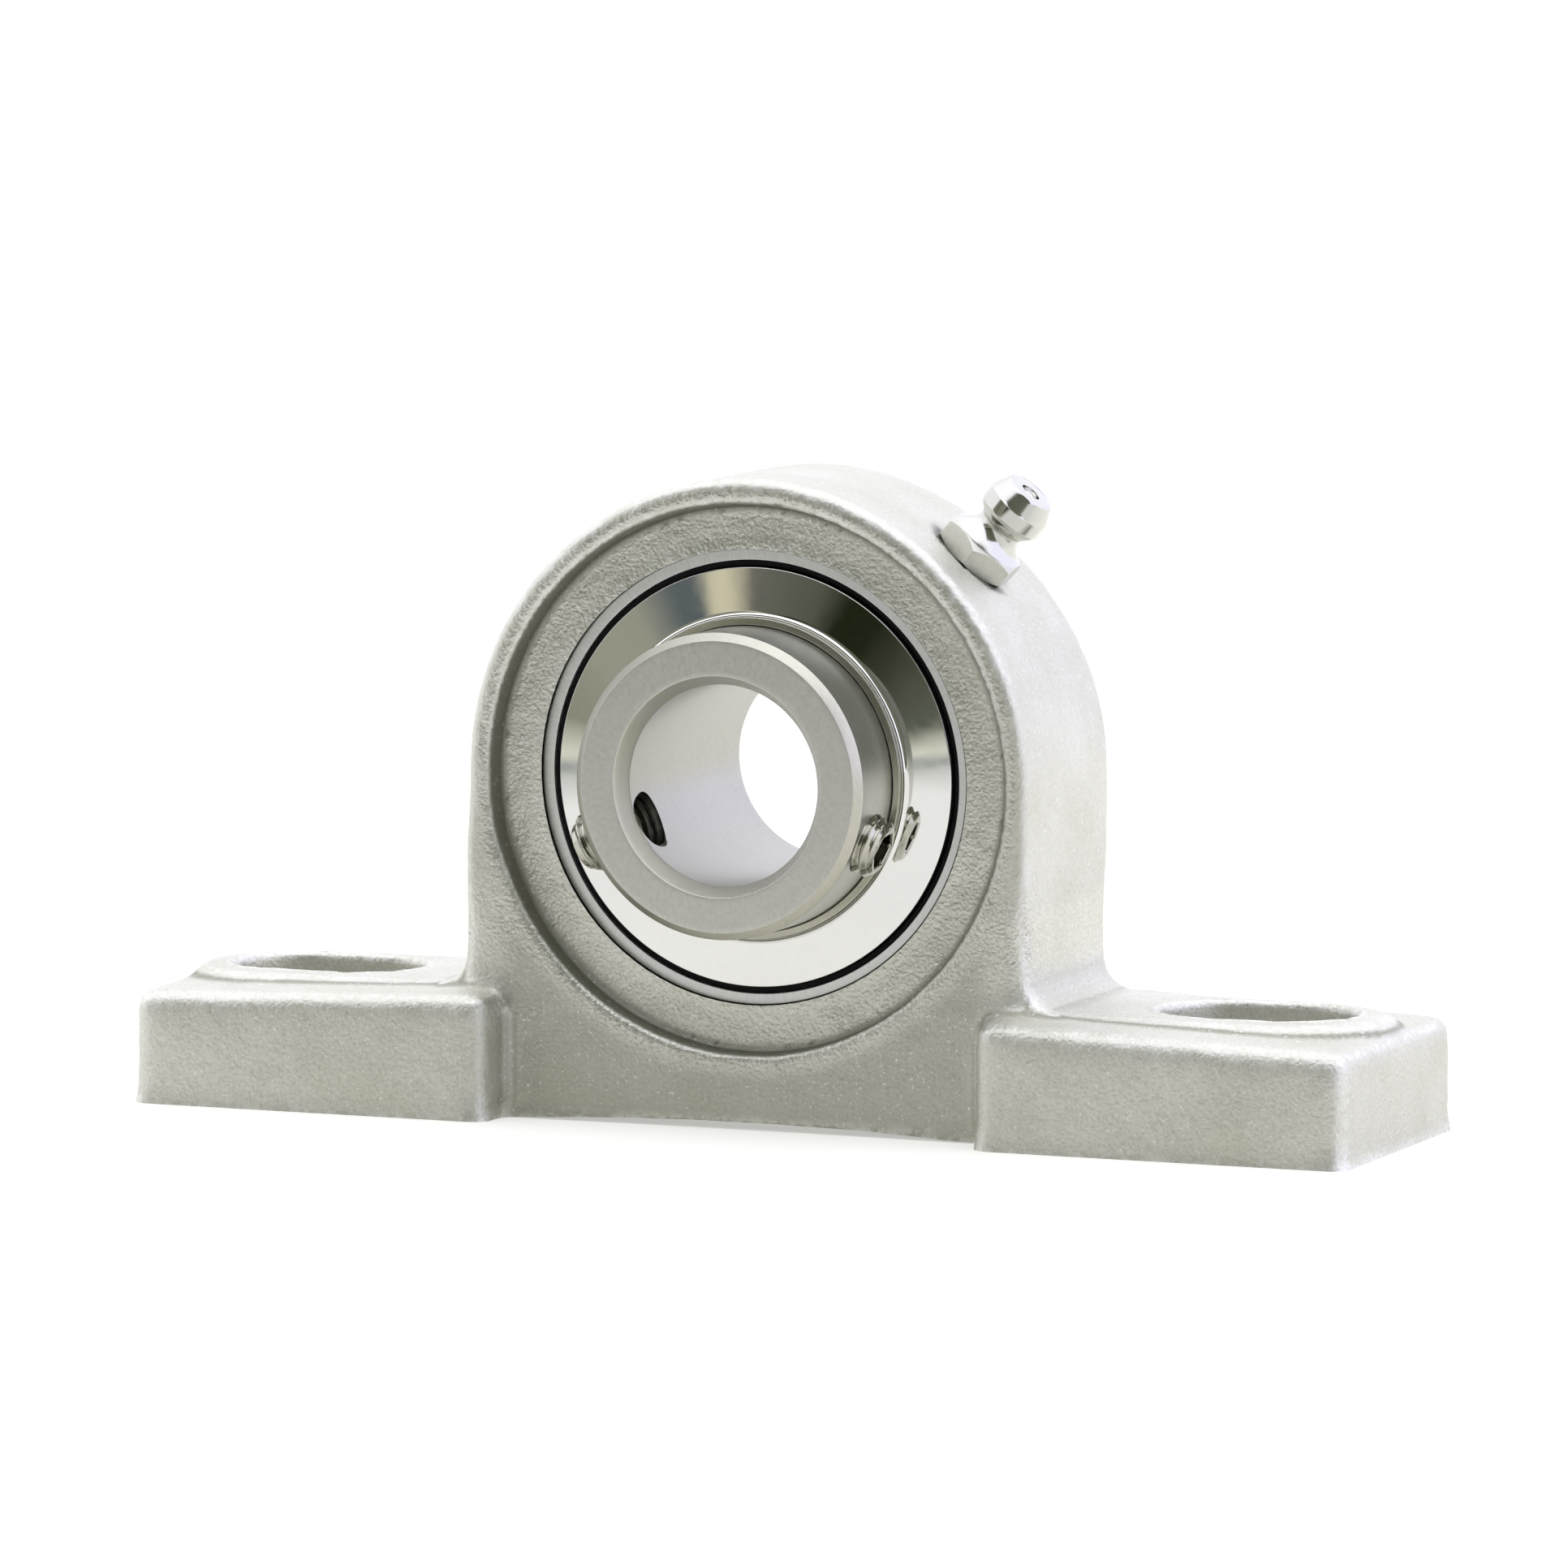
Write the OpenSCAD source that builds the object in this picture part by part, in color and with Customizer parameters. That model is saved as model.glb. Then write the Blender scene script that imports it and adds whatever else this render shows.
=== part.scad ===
// Pillow block bearing: a cast two-bolt housing that carries a self-aligning insert ball bearing.
// X runs along the base, +Y points away from the set-screw side, +Z is up.
// The origin lies on the mounting plane, midway between the bolt slots and below the shaft axis.

/* [Housing] */
// Length of the base
base_len = 123.4; // [120:0.1:127]
// Depth of the feet, front to back
foot_depth = 32.5; // [31:0.5:36]
// Height of a foot at its inner end
foot_h_in = 12.3; // [11.8:0.1:12.4]
// Height of a foot at its outer end
foot_h_out = 10.95; // [10.4:0.05:11.4]
// Distance between the inner ends of the two feet
foot_gap = 49.2; // [46:0.1:52]
// Height of the raised pad round a bolt slot, above the mounting plane
pad_h = 12.6; // [12.5:0.1:13.5]
// Width of the raised pad
pad_w = 20.4; // [19:0.2:22]
// Height of the shaft axis above the mounting plane
shaft_h = 33.3; // [33:0.1:35]
// Outer radius of the arch round the bearing
arch_r = 28.5; // [28:0.1:29.5]
// Depth of the arch, front to back
arch_depth = 23; // [21.5:0.5:25]
// Rounding of the arch's edges
arch_edge_r = 1.2; // [0.6:0.1:1.6]
// Rounding of the feet's front and back top edges
foot_edge_r = 1.4; // [0.8:0.1:1.8]
// Rounding of the feet's top edges at their ends
foot_end_r = 0.7; // [0.4:0.1:0.8]
// Rounding of the feet's upright corners
foot_corner_r = 1.9; // [1:0.1:2.5]
// Radius of the fillets where the arch meets the feet
arch_fillet_r = 3; // [2:0.25:4]
// Radius of the small fillets beside the feet's inner ends
web_fillet_r = 1.4; // [0.8:0.1:2]
// Rise of the shallow arch under the middle of the base
relief_h = 0.6; // [0.3:0.1:1.2]

/* [Bolt slots] */
// Distance between the centres of the two slots
slot_pitch = 95; // [93:0.5:96]
// Width of a slot
slot_w = 13; // [11:0.5:13.5]
// Length of a slot, end to end
slot_l = 19; // [16:0.5:19.5]
// Width of the broken edge at a slot's mouth
slot_edge = 0.4; // [0.2:0.1:0.8]

/* [Bearing seat] */
// Width of the ring that holds the spherical seat
seat_w = 18.4; // [17.8:0.1:19]
// Radius of the sunken face round the seat
recess_r = 26.1; // [25:0.1:26.6]
// Width of the grease groove in the seat
groove_w = 6.5; // [5.5:0.25:7]
// Depth of the grease groove in the seat
groove_t = 0.5; // [0.3:0.1:0.7]

/* [Insert bearing] */
// Shaft bore
bore_d = 19.05; // [18.5:0.05:20]
// Spherical outside diameter of the outer ring
outer_d = 47; // [46.8:0.1:47.2]
// Width of the outer ring
outer_w = 17; // [16.8:0.1:17.2]
// Outside diameter of the inner ring
inner_d = 29; // [28.6:0.1:29.2]
// Distance from the bearing's centre to the inner ring's face on the set-screw side
inner_front = 18.3; // [17.8:0.1:19]
// Distance from the bearing's centre to the inner ring's other face
inner_back = 12.7; // [12.3:0.1:13.5]
// Axial length of the bore's chamfer
bore_chamfer = 1.3; // [0.6:0.1:1.5]
// Chamfer on the inner ring's outer edges
ring_chamfer = 0.7; // [0.3:0.1:0.9]
// Ball diameter
ball_d = 7.938; // [7.8:0.001:7.938]
// Diameter of the circle through the ball centres
pitch_d = 33.5; // [33.4:0.05:33.6]
// Height of the outer ring's shoulder, from the seal's seat to the raceway's edge
shoulder_t = 1.47; // [1.3:0.01:1.6]
// Radius of a lubrication hole in the outer ring
lube_r = 0.8; // [0.5:0.1:0.9]

/* [Seals and flingers] */
// Radius of the seal's seat in the outer ring
seal_r = 20.6; // [20.4:0.05:20.7]
// Depth of the seal's seat below the outer ring's face
seal_t = 2.6; // [2.4:0.05:2.8]
// Distance from the outer ring's face in to the seal's flat front
seal_inset = 1.1; // [1:0.05:1.2]
// Distance from the outer ring's face in to the seal's outer bead
bead_inset = 0.65; // [0.5:0.05:0.8]
// Thickness of the seal's steel ring
core_t = 0.4; // [0.3:0.05:0.5]
// Thickness of the rubber in front of the seal's steel ring
skin_t = 0.3; // [0.2:0.05:0.4]
// Width of the rubber round the seal's steel ring
bead_w = 0.6; // [0.5:0.05:0.8]
// Width of the rubber between the steel ring and the lip's inner edge
lip_w = 1.3; // [1.1:0.05:1.5]
// Outside radius of a flinger
flinger_r = 20.05; // [19.6:0.05:20.1]
// Radius of the rolled collar at a flinger's inner edge
collar_r = 15.45; // [15.3:0.05:15.7]
// Distance from the outer ring's face to the front of the rolled collar
collar_h = 1.7; // [1.5:0.05:1.8]
// Distance from the outer ring's face to the front of a flinger's rim
rim_h = 0.25; // [0.1:0.05:0.4]
// Slope of the flinger's disc
flinger_slope = 4.8; // [3:0.1:8]
// Thickness of the flinger's sheet
sheet_t = 0.5; // [0.4:0.05:0.6]

/* [Cage] */
// Thickness of the cage's sheet
cage_t = 0.7; // [0.5:0.05:0.8]
// Distance between the cage and the shoulders of the two rings
cage_gap = 0.9; // [0.8:0.05:1.1]
// Radius of a rivet's shank
rivet_r = 0.6; // [0.4:0.05:0.7]

/* [Set screws] */
// Angle between the two set screws, seen from the front
screw_spread = 135; // [110:1:150]
// Turn of the inner ring from upright, seen from the front
screw_turn = 1.3; // [-10:0.1:10]
// Distance from the inner ring's front face to the set screws' axes
screw_inset = 4.5; // [4.2:0.05:4.5]
// Outside diameter of a set screw
screw_d = 6.3; // [5.8:0.1:6.3]
// Length of a set screw
screw_l = 5.7; // [5.6:0.05:6.4]
// Distance from the shaft axis to the left screw's socket end
screw_out_left = 16.8; // [16.4:0.1:17.2]
// Distance from the shaft axis to the right screw's socket end
screw_out_right = 16.15; // [16.1:0.05:16.8]
// Width of a socket across its flats
socket_af = 3.18; // [2.5:0.02:3.2]
// Depth of a socket
socket_t = 2.6; // [1.5:0.1:3]

/* [Grease fitting] */
// Angle of the fitting's axis above the horizontal
fitting_a = 48; // [40:1:60]
// Width of the hexagon across its flats
hex_af = 7.5; // [6.8:0.02:7.6]
// Height of the hexagon
hex_h = 1.9; // [1.8:0.1:2.6]
// Turn of the hexagon on the fitting's axis
hex_turn = 37; // [0:1:59]
// Radius of the threaded shank
shank_r = 3; // [2.8:0.05:3.1]
// Radius of the head
head_r = 3.25; // [3:0.05:3.4]
// Distance from the arch's surface to the head's flat tip
head_h = 8.1; // [7.8:0.1:8.8]
// Radius of the flat tip
tip_r = 2.45; // [2:0.05:2.6]
// Radius of the check ball
check_r = 1.2; // [1.15:0.01:1.24]
// Turns of the check ball's spring
spring_turns = 6; // [4:1:7]

/* [Clearances] */
// Radial play of the insert in its seat
seat_gap = 0.03; // [0.02:0.01:0.08]
// Radial play of each ball in the raceways
ball_gap = 0.03; // [0.02:0.01:0.06]
// Radial play of each ball in its pocket
pocket_gap = 0.09; // [0.07:0.01:0.12]
// Radial play between a seal's lip and the inner ring
lip_gap = 0.06; // [0.04:0.01:0.1]
// Radial play of a set screw in its hole
thread_gap = 0.06; // [0.04:0.01:0.1]

/* [Hidden] */
$fn = 96;
eps = 0.01;

balls = 8;
ball_step = 360 / balls;
ball_r = ball_d / 2;
pitch_r = pitch_d / 2;
half_len = base_len / 2;
half_gap = foot_gap / 2;
half_depth = foot_depth / 2;
half_arch = arch_depth / 2;
foot_slope = atan((foot_h_in - foot_h_out) / (half_len - half_gap));
slot_x = slot_pitch / 2;
slot_r = slot_w / 2;
slot_half = slot_l / 2 - slot_r;
pad_x = slot_x + slot_half;
pad_r = min(pad_w / 2, half_len - foot_end_r - 0.1 - pad_x);
seat_r = outer_d / 2 + seat_gap;
half_seat = seat_w / 2;
half_outer = outer_w / 2;
inner_r = inner_d / 2;
bore_r = bore_d / 2;
bore_chamfer_r = bore_chamfer * 0.77;
race_r = ball_r * 1.03;
outer_race_r = pitch_r + ball_r + ball_gap - race_r;
inner_race_r = pitch_r - ball_r - ball_gap + race_r;
land_r = seal_r - shoulder_t;
seal_y = half_outer - seal_t;
seal_front = half_outer - seal_inset;
bead_y = half_outer - bead_inset;
collar_y = half_outer + collar_h;
rim_y = half_outer + rim_h;
core_in = inner_r + lip_w;
core_out = seal_r - bead_w;
cage_in = inner_r + cage_gap;
cage_out = land_r - cage_gap;
rivet_ring_r = (cage_in + cage_out) / 2;
pocket_r = ball_r + pocket_gap;
rivet_head_r = rivet_r + 0.4;
rivet_head_h = 0.45;
screw_r = screw_d / 2;
screw_y = -(inner_front - screw_inset);
screw_left_a = 270 - screw_spread / 2 + screw_turn;
screw_right_a = 270 + screw_spread / 2 + screw_turn;
cup_r = screw_r * 0.55;
fitting_top = arch_r + head_h;
fitting_low = arch_r - 4.3;
hex_top = arch_r + hex_h;
passage_r = 1.32;
mouth_r = check_r - 0.15;
mouth_z = fitting_top - 0.75;
check_z = mouth_z - sqrt(check_r * check_r - mouth_r * mouth_r) - 0.04;
crimp_t = 0.9;
spring_wire_r = 0.16;
spring_r = passage_r - spring_wire_r - 0.08;
spring_low = fitting_low + crimp_t + spring_wire_r;
spring_high = check_z - check_r * 0.66 - spring_wire_r;

function foot_top(x) = foot_h_in - (x - half_gap) * tan(foot_slope);
function polar(r, a) = [r * cos(a), r * sin(a)];

// Children drawn round a local Z axis end up round the shaft axis, with local +Z as +Y.
module on_shaft() {
  translate([0, 0, shaft_h]) rotate([-90, 0, 0]) children();
}

// A profile drawn as radius and depth becomes a ring round the shaft axis.
module turned() {
  on_shaft() rotate_extrude() children();
}

// Local +Z points away from the shaft axis at angle a, in the plane at depth y.
module radial(a, y) {
  translate([0, y, shaft_h]) rotate([0, 90 - a, 0]) children();
}

module round_rect(x0, x1, y0, y1, r) {
  translate([x0 + r, y0]) square([x1 - x0 - 2 * r, y1 - y0]);
  translate([x0, y0 + r]) square([x1 - x0, y1 - y0 - 2 * r]);
  for (x = [x0 + r, x1 - r], y = [y0 + r, y1 - r]) translate([x, y]) circle(r);
}

// Concave corner of radius r: a square with a quarter circle taken out of it.
module fillet_shape(r) {
  difference() {
    translate([-1, -1]) square(r + 1);
    translate([r, r]) circle(r);
  }
}

module each_side() {
  children();
  mirror([1, 0, 0]) children();
}

// Cuts the top edge of a foot round at x, where out is 1 for the outer end and -1 for the inner one.
module foot_end_cut(x, out) {
  r = foot_end_r;
  cx = x - out * r;
  cz = foot_top(cx) - r / cos(foot_slope);
  top = [cx + (r + 1) * sin(foot_slope), cz + (r + 1) * cos(foot_slope)];
  rotate([90, 0, 0]) linear_extrude(foot_depth + 4, center = true) difference() {
    polygon([[cx, cz], top, [x + out * 2, top[1]], [x + out * 2, cz]]);
    translate([cx, cz]) circle(r);
  }
}

module foot() {
  difference() {
    intersection() {
      linear_extrude(foot_h_in + 4)
        round_rect(half_gap, half_len, -half_depth, half_depth, foot_corner_r);
      translate([half_gap, 0, foot_h_in]) rotate([0, foot_slope, 0])
        translate([-5, 0, 0]) rotate([90, 0, 90]) linear_extrude(half_len)
          round_rect(-half_depth, half_depth, -40, 0, foot_edge_r);
    }
    foot_end_cut(half_len, 1);
    foot_end_cut(half_gap, -1);
  }
}

module pad() {
  r = 1;
  low = foot_h_out - 3;
  translate([arch_r - 1, 0, 0]) rotate([90, 0, 90]) linear_extrude(pad_x - arch_r + 1)
    round_rect(-pad_r, pad_r, low, pad_h, r);
  translate([pad_x, 0, 0]) rotate_extrude() {
    translate([0, low]) square([pad_r - r, pad_h - low]);
    translate([0, low]) square([pad_r, pad_h - low - r]);
    translate([pad_r - r, pad_h - r]) circle(r);
  }
}

module slot_cut() {
  for (s = [-1, 1]) translate([slot_x + s * slot_half, 0, 0]) {
    translate([0, 0, -1]) cylinder(r = slot_r, h = pad_h + 2);
    translate([0, 0, pad_h - slot_edge]) cylinder(r1 = slot_r, r2 = slot_r + 2 * slot_edge, h = 2 * slot_edge);
  }
  translate([slot_x - slot_half, -slot_r, -1]) cube([2 * slot_half, slot_w, pad_h + 2]);
  translate([slot_x - slot_half, 0, 0]) rotate([90, 0, 90]) linear_extrude(2 * slot_half)
    polygon([
      [-slot_r, pad_h - slot_edge], [slot_r, pad_h - slot_edge],
      [slot_r + 2 * slot_edge, pad_h + slot_edge], [-slot_r - 2 * slot_edge, pad_h + slot_edge]
    ]);
}

module arch() {
  r = arch_edge_r;
  on_shaft() rotate_extrude() {
    translate([0, -half_arch]) square([arch_r - r, arch_depth]);
    translate([0, r - half_arch]) square([arch_r, arch_depth - 2 * r]);
    for (s = [-1, 1]) translate([arch_r - r, s * (half_arch - r)]) circle(r);
  }
  linear_extrude(shaft_h) round_rect(-arch_r, arch_r, -half_arch, half_arch, r);
}

module arch_fillet() {
  translate([arch_r, 0, pad_h]) rotate([90, 0, 0])
    linear_extrude(arch_depth - arch_edge_r, center = true) fillet_shape(arch_fillet_r);
  for (s = [0, 1]) mirror([0, s, 0])
    translate([half_gap, -half_arch, 0]) rotate([0, 0, 180])
      linear_extrude(foot_h_in - foot_edge_r) fillet_shape(web_fillet_r);
}

module seat_cuts() {
  turned() {
    intersection() {
      circle(seat_r);
      translate([0, -arch_depth]) square([outer_d, 2 * arch_depth]);
    }
    translate([0, half_seat]) square([recess_r, half_arch]);
    translate([0, -half_seat - half_arch]) square([recess_r, half_arch]);
    translate([0, 2 - groove_w / 2]) square([seat_r + groove_t, groove_w]);
  }
  // Two opposite notches let the insert in sideways from the back.
  intersection() {
    on_shaft() cylinder(r = seat_r, h = half_arch + 1);
    translate([-arch_r, 0, shaft_h - half_outer - 0.2]) cube([2 * arch_r, half_arch + 1, outer_w + 0.4]);
  }
}

module housing() {
  relief_r = (half_gap * half_gap + relief_h * relief_h) / (2 * relief_h);
  color([0.73, 0.73, 0.69]) difference() {
    union() {
      arch();
      each_side() {
        foot();
        pad();
        arch_fillet();
      }
    }
    seat_cuts();
    each_side() slot_cut();
    translate([0, 0, relief_h - relief_r]) rotate([90, 0, 0])
      cylinder(r = relief_r, h = arch_depth + 4, center = true, $fn = 720);
    radial(fitting_a, 0) translate([0, 0, seat_r - 2]) cylinder(r = shank_r, h = arch_r);
  }
}

module grease_fitting() {
  neck_r = head_r * 0.7;
  neck_z = arch_r + head_h * 0.46;
  head_z = arch_r + head_h * 0.66;
  color([0.86, 0.86, 0.85]) radial(fitting_a, 0) difference() {
    union() {
      rotate_extrude() polygon([
        [0, fitting_low], [shank_r - 0.4, fitting_low], [shank_r, fitting_low + 0.4], [shank_r, hex_top - 0.1],
        [neck_r + 0.3, neck_z - 0.6], [neck_r, neck_z], [neck_r, neck_z + 0.5],
        [head_r - 0.25, head_z - 0.45], [head_r, head_z], [head_r, head_z + 0.7],
        [tip_r, fitting_top], [0, fitting_top]
      ]);
      intersection() {
        translate([0, 0, arch_r]) rotate([0, 0, hex_turn]) cylinder(d = hex_af / cos(30), h = hex_h, $fn = 6);
        translate([0, 0, arch_r - 1]) cylinder(
          r1 = hex_af / 2 + (hex_h + 1) * 1.7, r2 = hex_af / 2 - 0.1, h = hex_h + 1);
      }
    }
    translate([0, 0, fitting_low - 1]) cylinder(r = passage_r * 0.5, h = 3);
    translate([0, 0, fitting_low + crimp_t]) cylinder(r = passage_r, h = mouth_z - 0.3 - fitting_low - crimp_t);
    translate([0, 0, mouth_z - 0.3 - eps]) cylinder(r1 = passage_r, r2 = mouth_r, h = 0.3 + eps);
    translate([0, 0, mouth_z - eps]) cylinder(r = mouth_r, h = 2);
  }
}

module grease_check_ball() {
  color([0.9, 0.9, 0.9]) radial(fitting_a, 0) translate([0, 0, check_z]) sphere(r = check_r);
}

// Wire swept along a helix: steps rings of sides points each, closed by a cap at both ends.
module coil(r, wire, z0, z1, turns, steps, sides) {
  n = turns * steps;
  pts = [for (i = [0:n]) for (j = [0:sides - 1])
    let (a = 360 * i / steps, b = 360 * j / sides, q = r + wire * cos(b))
    [q * cos(a), q * sin(a), z0 + (z1 - z0) * i / n + wire * sin(b)]];
  walls = [for (i = [0:n - 1]) for (j = [0:sides - 1])
    let (k = (j + 1) % sides)
    [i * sides + j, i * sides + k, (i + 1) * sides + k, (i + 1) * sides + j]];
  caps = [[for (j = [sides - 1:-1:0]) j], [for (j = [0:sides - 1]) n * sides + j]];
  polyhedron(pts, concat(walls, caps), convexity = 10);
}

module grease_spring() {
  color([0.7, 0.7, 0.7]) radial(fitting_a, 0)
    coil(spring_r, spring_wire_r, spring_low, spring_high, spring_turns, 10, 5);
}

module outer_ring() {
  lip = 0.1;
  color([0.72, 0.73, 0.73]) difference() {
    turned() difference() {
      intersection() {
        circle(outer_d / 2);
        translate([land_r, -half_outer]) square([outer_d, outer_w]);
      }
      translate([outer_race_r, 0]) circle(race_r);
      for (s = [0, 1]) mirror([0, s]) polygon([
        [0, seal_y], [seal_r, seal_y], [seal_r, half_outer - lip],
        [seal_r + lip, half_outer], [seal_r + lip, half_outer + 1], [0, half_outer + 1]
      ]);
    }
    for (a = [fitting_a, fitting_a + 180]) radial(a, 5) translate([0, 0, land_r - 2]) cylinder(r = lube_r, h = 9);
  }
}

module inner_ring() {
  c = ring_chamfer;
  b = bore_chamfer;
  g = bore_chamfer_r;
  color([0.68, 0.68, 0.66]) difference() {
    turned() difference() {
      polygon([
        [bore_r, b - inner_front], [bore_r + g, -inner_front], [inner_r - c, -inner_front],
        [inner_r, c - inner_front], [inner_r, inner_back - c], [inner_r - c, inner_back],
        [bore_r + g, inner_back], [bore_r, inner_back - b]
      ]);
      translate([inner_race_r, 0]) circle(race_r);
    }
    for (a = [screw_left_a, screw_right_a]) radial(a, screw_y) cylinder(r = screw_r + thread_gap, h = outer_d / 2);
  }
}

// Steel ring of a seal, drawn on the back side of the bearing.
module seal_core() {
  color([0.6, 0.6, 0.6]) turned()
    translate([core_in, seal_front - skin_t - core_t]) square([core_out - core_in, core_t]);
}

// Rubber of a seal: an outer bead, a skin over the steel ring and a pointed lip on the inner ring.
module seal_rubber() {
  lip_r = inner_r + lip_gap;
  skin_y = seal_front - skin_t;
  color([0.05, 0.05, 0.05]) turned() polygon([
    [seal_r, seal_y], [seal_r, bead_y - 0.2], [seal_r - 0.2, bead_y], [core_out + 0.1, bead_y],
    [core_out - 0.2, seal_front], [core_in - 0.3, seal_front], [lip_r, seal_front - skin_t / 3],
    [lip_r, seal_front - skin_t - 0.05], [core_in - 0.4, skin_y - core_t], [core_in, skin_y - core_t],
    [core_in, skin_y], [core_out, skin_y], [core_out, seal_y]
  ]);
}

// Pressed sheet disc on the inner ring: a rolled collar and a shallow cone that covers the seal.
module flinger() {
  t = sheet_t;
  hub_y = seal_front + 0.4;
  foot_y = rim_y + (flinger_r - collar_r) * tan(flinger_slope);
  color([0.85, 0.85, 0.83]) turned() polygon([
    [inner_r, hub_y], [inner_r + t, hub_y], [inner_r + t, foot_y - t - 0.1], [inner_r + t + 0.2, foot_y - t],
    [flinger_r, rim_y - t], [flinger_r, rim_y], [collar_r + 0.1, foot_y], [collar_r, foot_y + 0.15],
    [collar_r, collar_y - 0.2], [collar_r - 0.2, collar_y], [inner_r, collar_y]
  ]);
}

module at_front() {
  mirror([0, 1, 0]) children();
}

module front_seal_core() {
  at_front() seal_core();
}

module front_seal_lip() {
  at_front() seal_rubber();
}

module front_flinger() {
  at_front() flinger();
}

module back_seal_core() {
  seal_core();
}

module back_seal_lip() {
  seal_rubber();
}

module back_flinger() {
  flinger();
}

// Set screw with a hexagon socket and a hollow cup point; out is the radius of its socket end.
module set_screw(a, out) {
  c = 0.5;
  low = out - screw_l;
  color([0.75, 0.74, 0.7]) radial(a, screw_y) difference() {
    rotate_extrude() polygon([
      [0, low + 0.5], [cup_r - 0.4, low + 0.5], [cup_r, low], [screw_r, low + 0.9],
      [screw_r, out - c], [screw_r - c, out], [0, out]
    ]);
    translate([0, 0, out - socket_t]) cylinder(d = socket_af / cos(30), h = socket_t + 1, $fn = 6);
  }
}

module set_screw_left() {
  set_screw(screw_left_a, screw_out_left);
}

module set_screw_right() {
  set_screw(screw_right_a, screw_out_right);
}

// One half of the pressed ribbon cage: a flat ring with a domed pocket over each ball.
module cage_half() {
  color([0.62, 0.62, 0.6]) difference() {
    union() {
      turned() translate([cage_in, 0]) square([cage_out - cage_in, cage_t]);
      for (i = [0:balls - 1]) intersection() {
        radial((i + 0.5) * ball_step, 0) translate([0, 0, pitch_r]) sphere(r = pocket_r + cage_t);
        turned() translate([cage_in, 0]) square([cage_out - cage_in, ball_d]);
      }
    }
    for (i = [0:balls - 1]) {
      radial((i + 0.5) * ball_step, 0) translate([0, 0, pitch_r]) sphere(r = pocket_r);
      radial(i * ball_step, 0) translate([0, 0, rivet_ring_r]) rotate([90, 0, 0])
        cylinder(r = rivet_r, h = 4, center = true);
    }
  }
}

module cage_front() {
  at_front() cage_half();
}

module cage_back() {
  cage_half();
}

module cage_rivets() {
  color([0.7, 0.7, 0.7]) for (i = [0:balls - 1]) radial(i * ball_step, 0) translate([0, 0, rivet_ring_r])
    rotate([90, 0, 0]) {
      cylinder(r = rivet_r, h = 2 * cage_t, center = true);
      for (s = [0, 1]) mirror([0, 0, s]) translate([0, 0, cage_t]) cylinder(r = rivet_head_r, h = rivet_head_h);
    }
}

module ball(i) {
  color([0.8, 0.8, 0.82]) radial((i - 0.5) * ball_step, 0) translate([0, 0, pitch_r]) sphere(r = ball_r);
}

module ball_1() {
  ball(1);
}

module ball_2() {
  ball(2);
}

module ball_3() {
  ball(3);
}

module ball_4() {
  ball(4);
}

module ball_5() {
  ball(5);
}

module ball_6() {
  ball(6);
}

module ball_7() {
  ball(7);
}

module ball_8() {
  ball(8);
}

housing();
grease_fitting();
grease_check_ball();
grease_spring();
outer_ring();
inner_ring();
front_seal_core();
front_seal_lip();
front_flinger();
back_seal_core();
back_seal_lip();
back_flinger();
set_screw_left();
set_screw_right();
cage_front();
cage_back();
cage_rivets();
ball_1();
ball_2();
ball_3();
ball_4();
ball_5();
ball_6();
ball_7();
ball_8();
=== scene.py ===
import bmesh
import bpy
import math
import numpy as np
from mathutils import Matrix, Vector


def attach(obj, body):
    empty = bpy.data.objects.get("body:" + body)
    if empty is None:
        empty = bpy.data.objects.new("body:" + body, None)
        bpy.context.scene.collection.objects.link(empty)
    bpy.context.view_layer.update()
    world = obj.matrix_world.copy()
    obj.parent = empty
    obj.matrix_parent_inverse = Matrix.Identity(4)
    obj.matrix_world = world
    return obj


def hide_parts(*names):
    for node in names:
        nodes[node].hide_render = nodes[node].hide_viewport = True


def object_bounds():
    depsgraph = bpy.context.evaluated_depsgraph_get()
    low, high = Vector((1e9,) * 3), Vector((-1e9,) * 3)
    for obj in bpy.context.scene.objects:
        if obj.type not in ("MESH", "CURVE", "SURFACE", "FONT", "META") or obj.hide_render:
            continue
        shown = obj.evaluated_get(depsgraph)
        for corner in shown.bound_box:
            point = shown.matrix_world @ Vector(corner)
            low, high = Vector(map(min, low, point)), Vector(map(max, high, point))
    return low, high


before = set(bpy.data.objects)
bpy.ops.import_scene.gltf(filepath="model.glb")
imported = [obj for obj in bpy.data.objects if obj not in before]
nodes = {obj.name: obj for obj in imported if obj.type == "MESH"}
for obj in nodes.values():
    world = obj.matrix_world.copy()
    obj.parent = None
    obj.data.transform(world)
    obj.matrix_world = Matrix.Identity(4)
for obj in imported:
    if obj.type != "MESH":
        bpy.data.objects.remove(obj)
cadLow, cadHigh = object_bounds()
scene = bpy.context.scene
print("frame loaded:", len(nodes), "nodes")

mm = 0.001
fullTurn = 2 * math.pi
shaftHeight = 33.3  # mm above the mounting plane, as in the part's source
fittingAngle = 48.0  # degrees from +X towards +Z, where the grease fitting stands


def smoothStep(t):
    # 3 t squared minus 2 t cubed, held at 0 and 1 outside.
    t = np.clip(t, 0, 1)
    return t * t * (3 - 2 * t)


def cellNoise(points, cell, seed):
    # Value noise: a random number at each corner of a cubic lattice, blended with a smooth step in between.
    # The number is the corner's place, scrambled with large primes.
    scaled = points / cell
    base = np.floor(scaled).astype(np.int64)
    blend = smoothStep(scaled - base)
    total = np.zeros(len(points))
    for corner in np.ndindex(2, 2, 2):
        index = base + np.array(corner)
        mixed = index[:, 0] * 73856093 ^ index[:, 1] * 19349663 ^ index[:, 2] * 83492791 ^ seed * 26544357
        mixed = (mixed ^ (mixed >> 13)) * 1274126177
        value = ((mixed ^ (mixed >> 16)) & 0xffff) / 32767.5 - 1
        total += value * np.prod(np.where(np.array(corner) == 1, blend, 1 - blend), axis=1)
    return total


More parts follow.
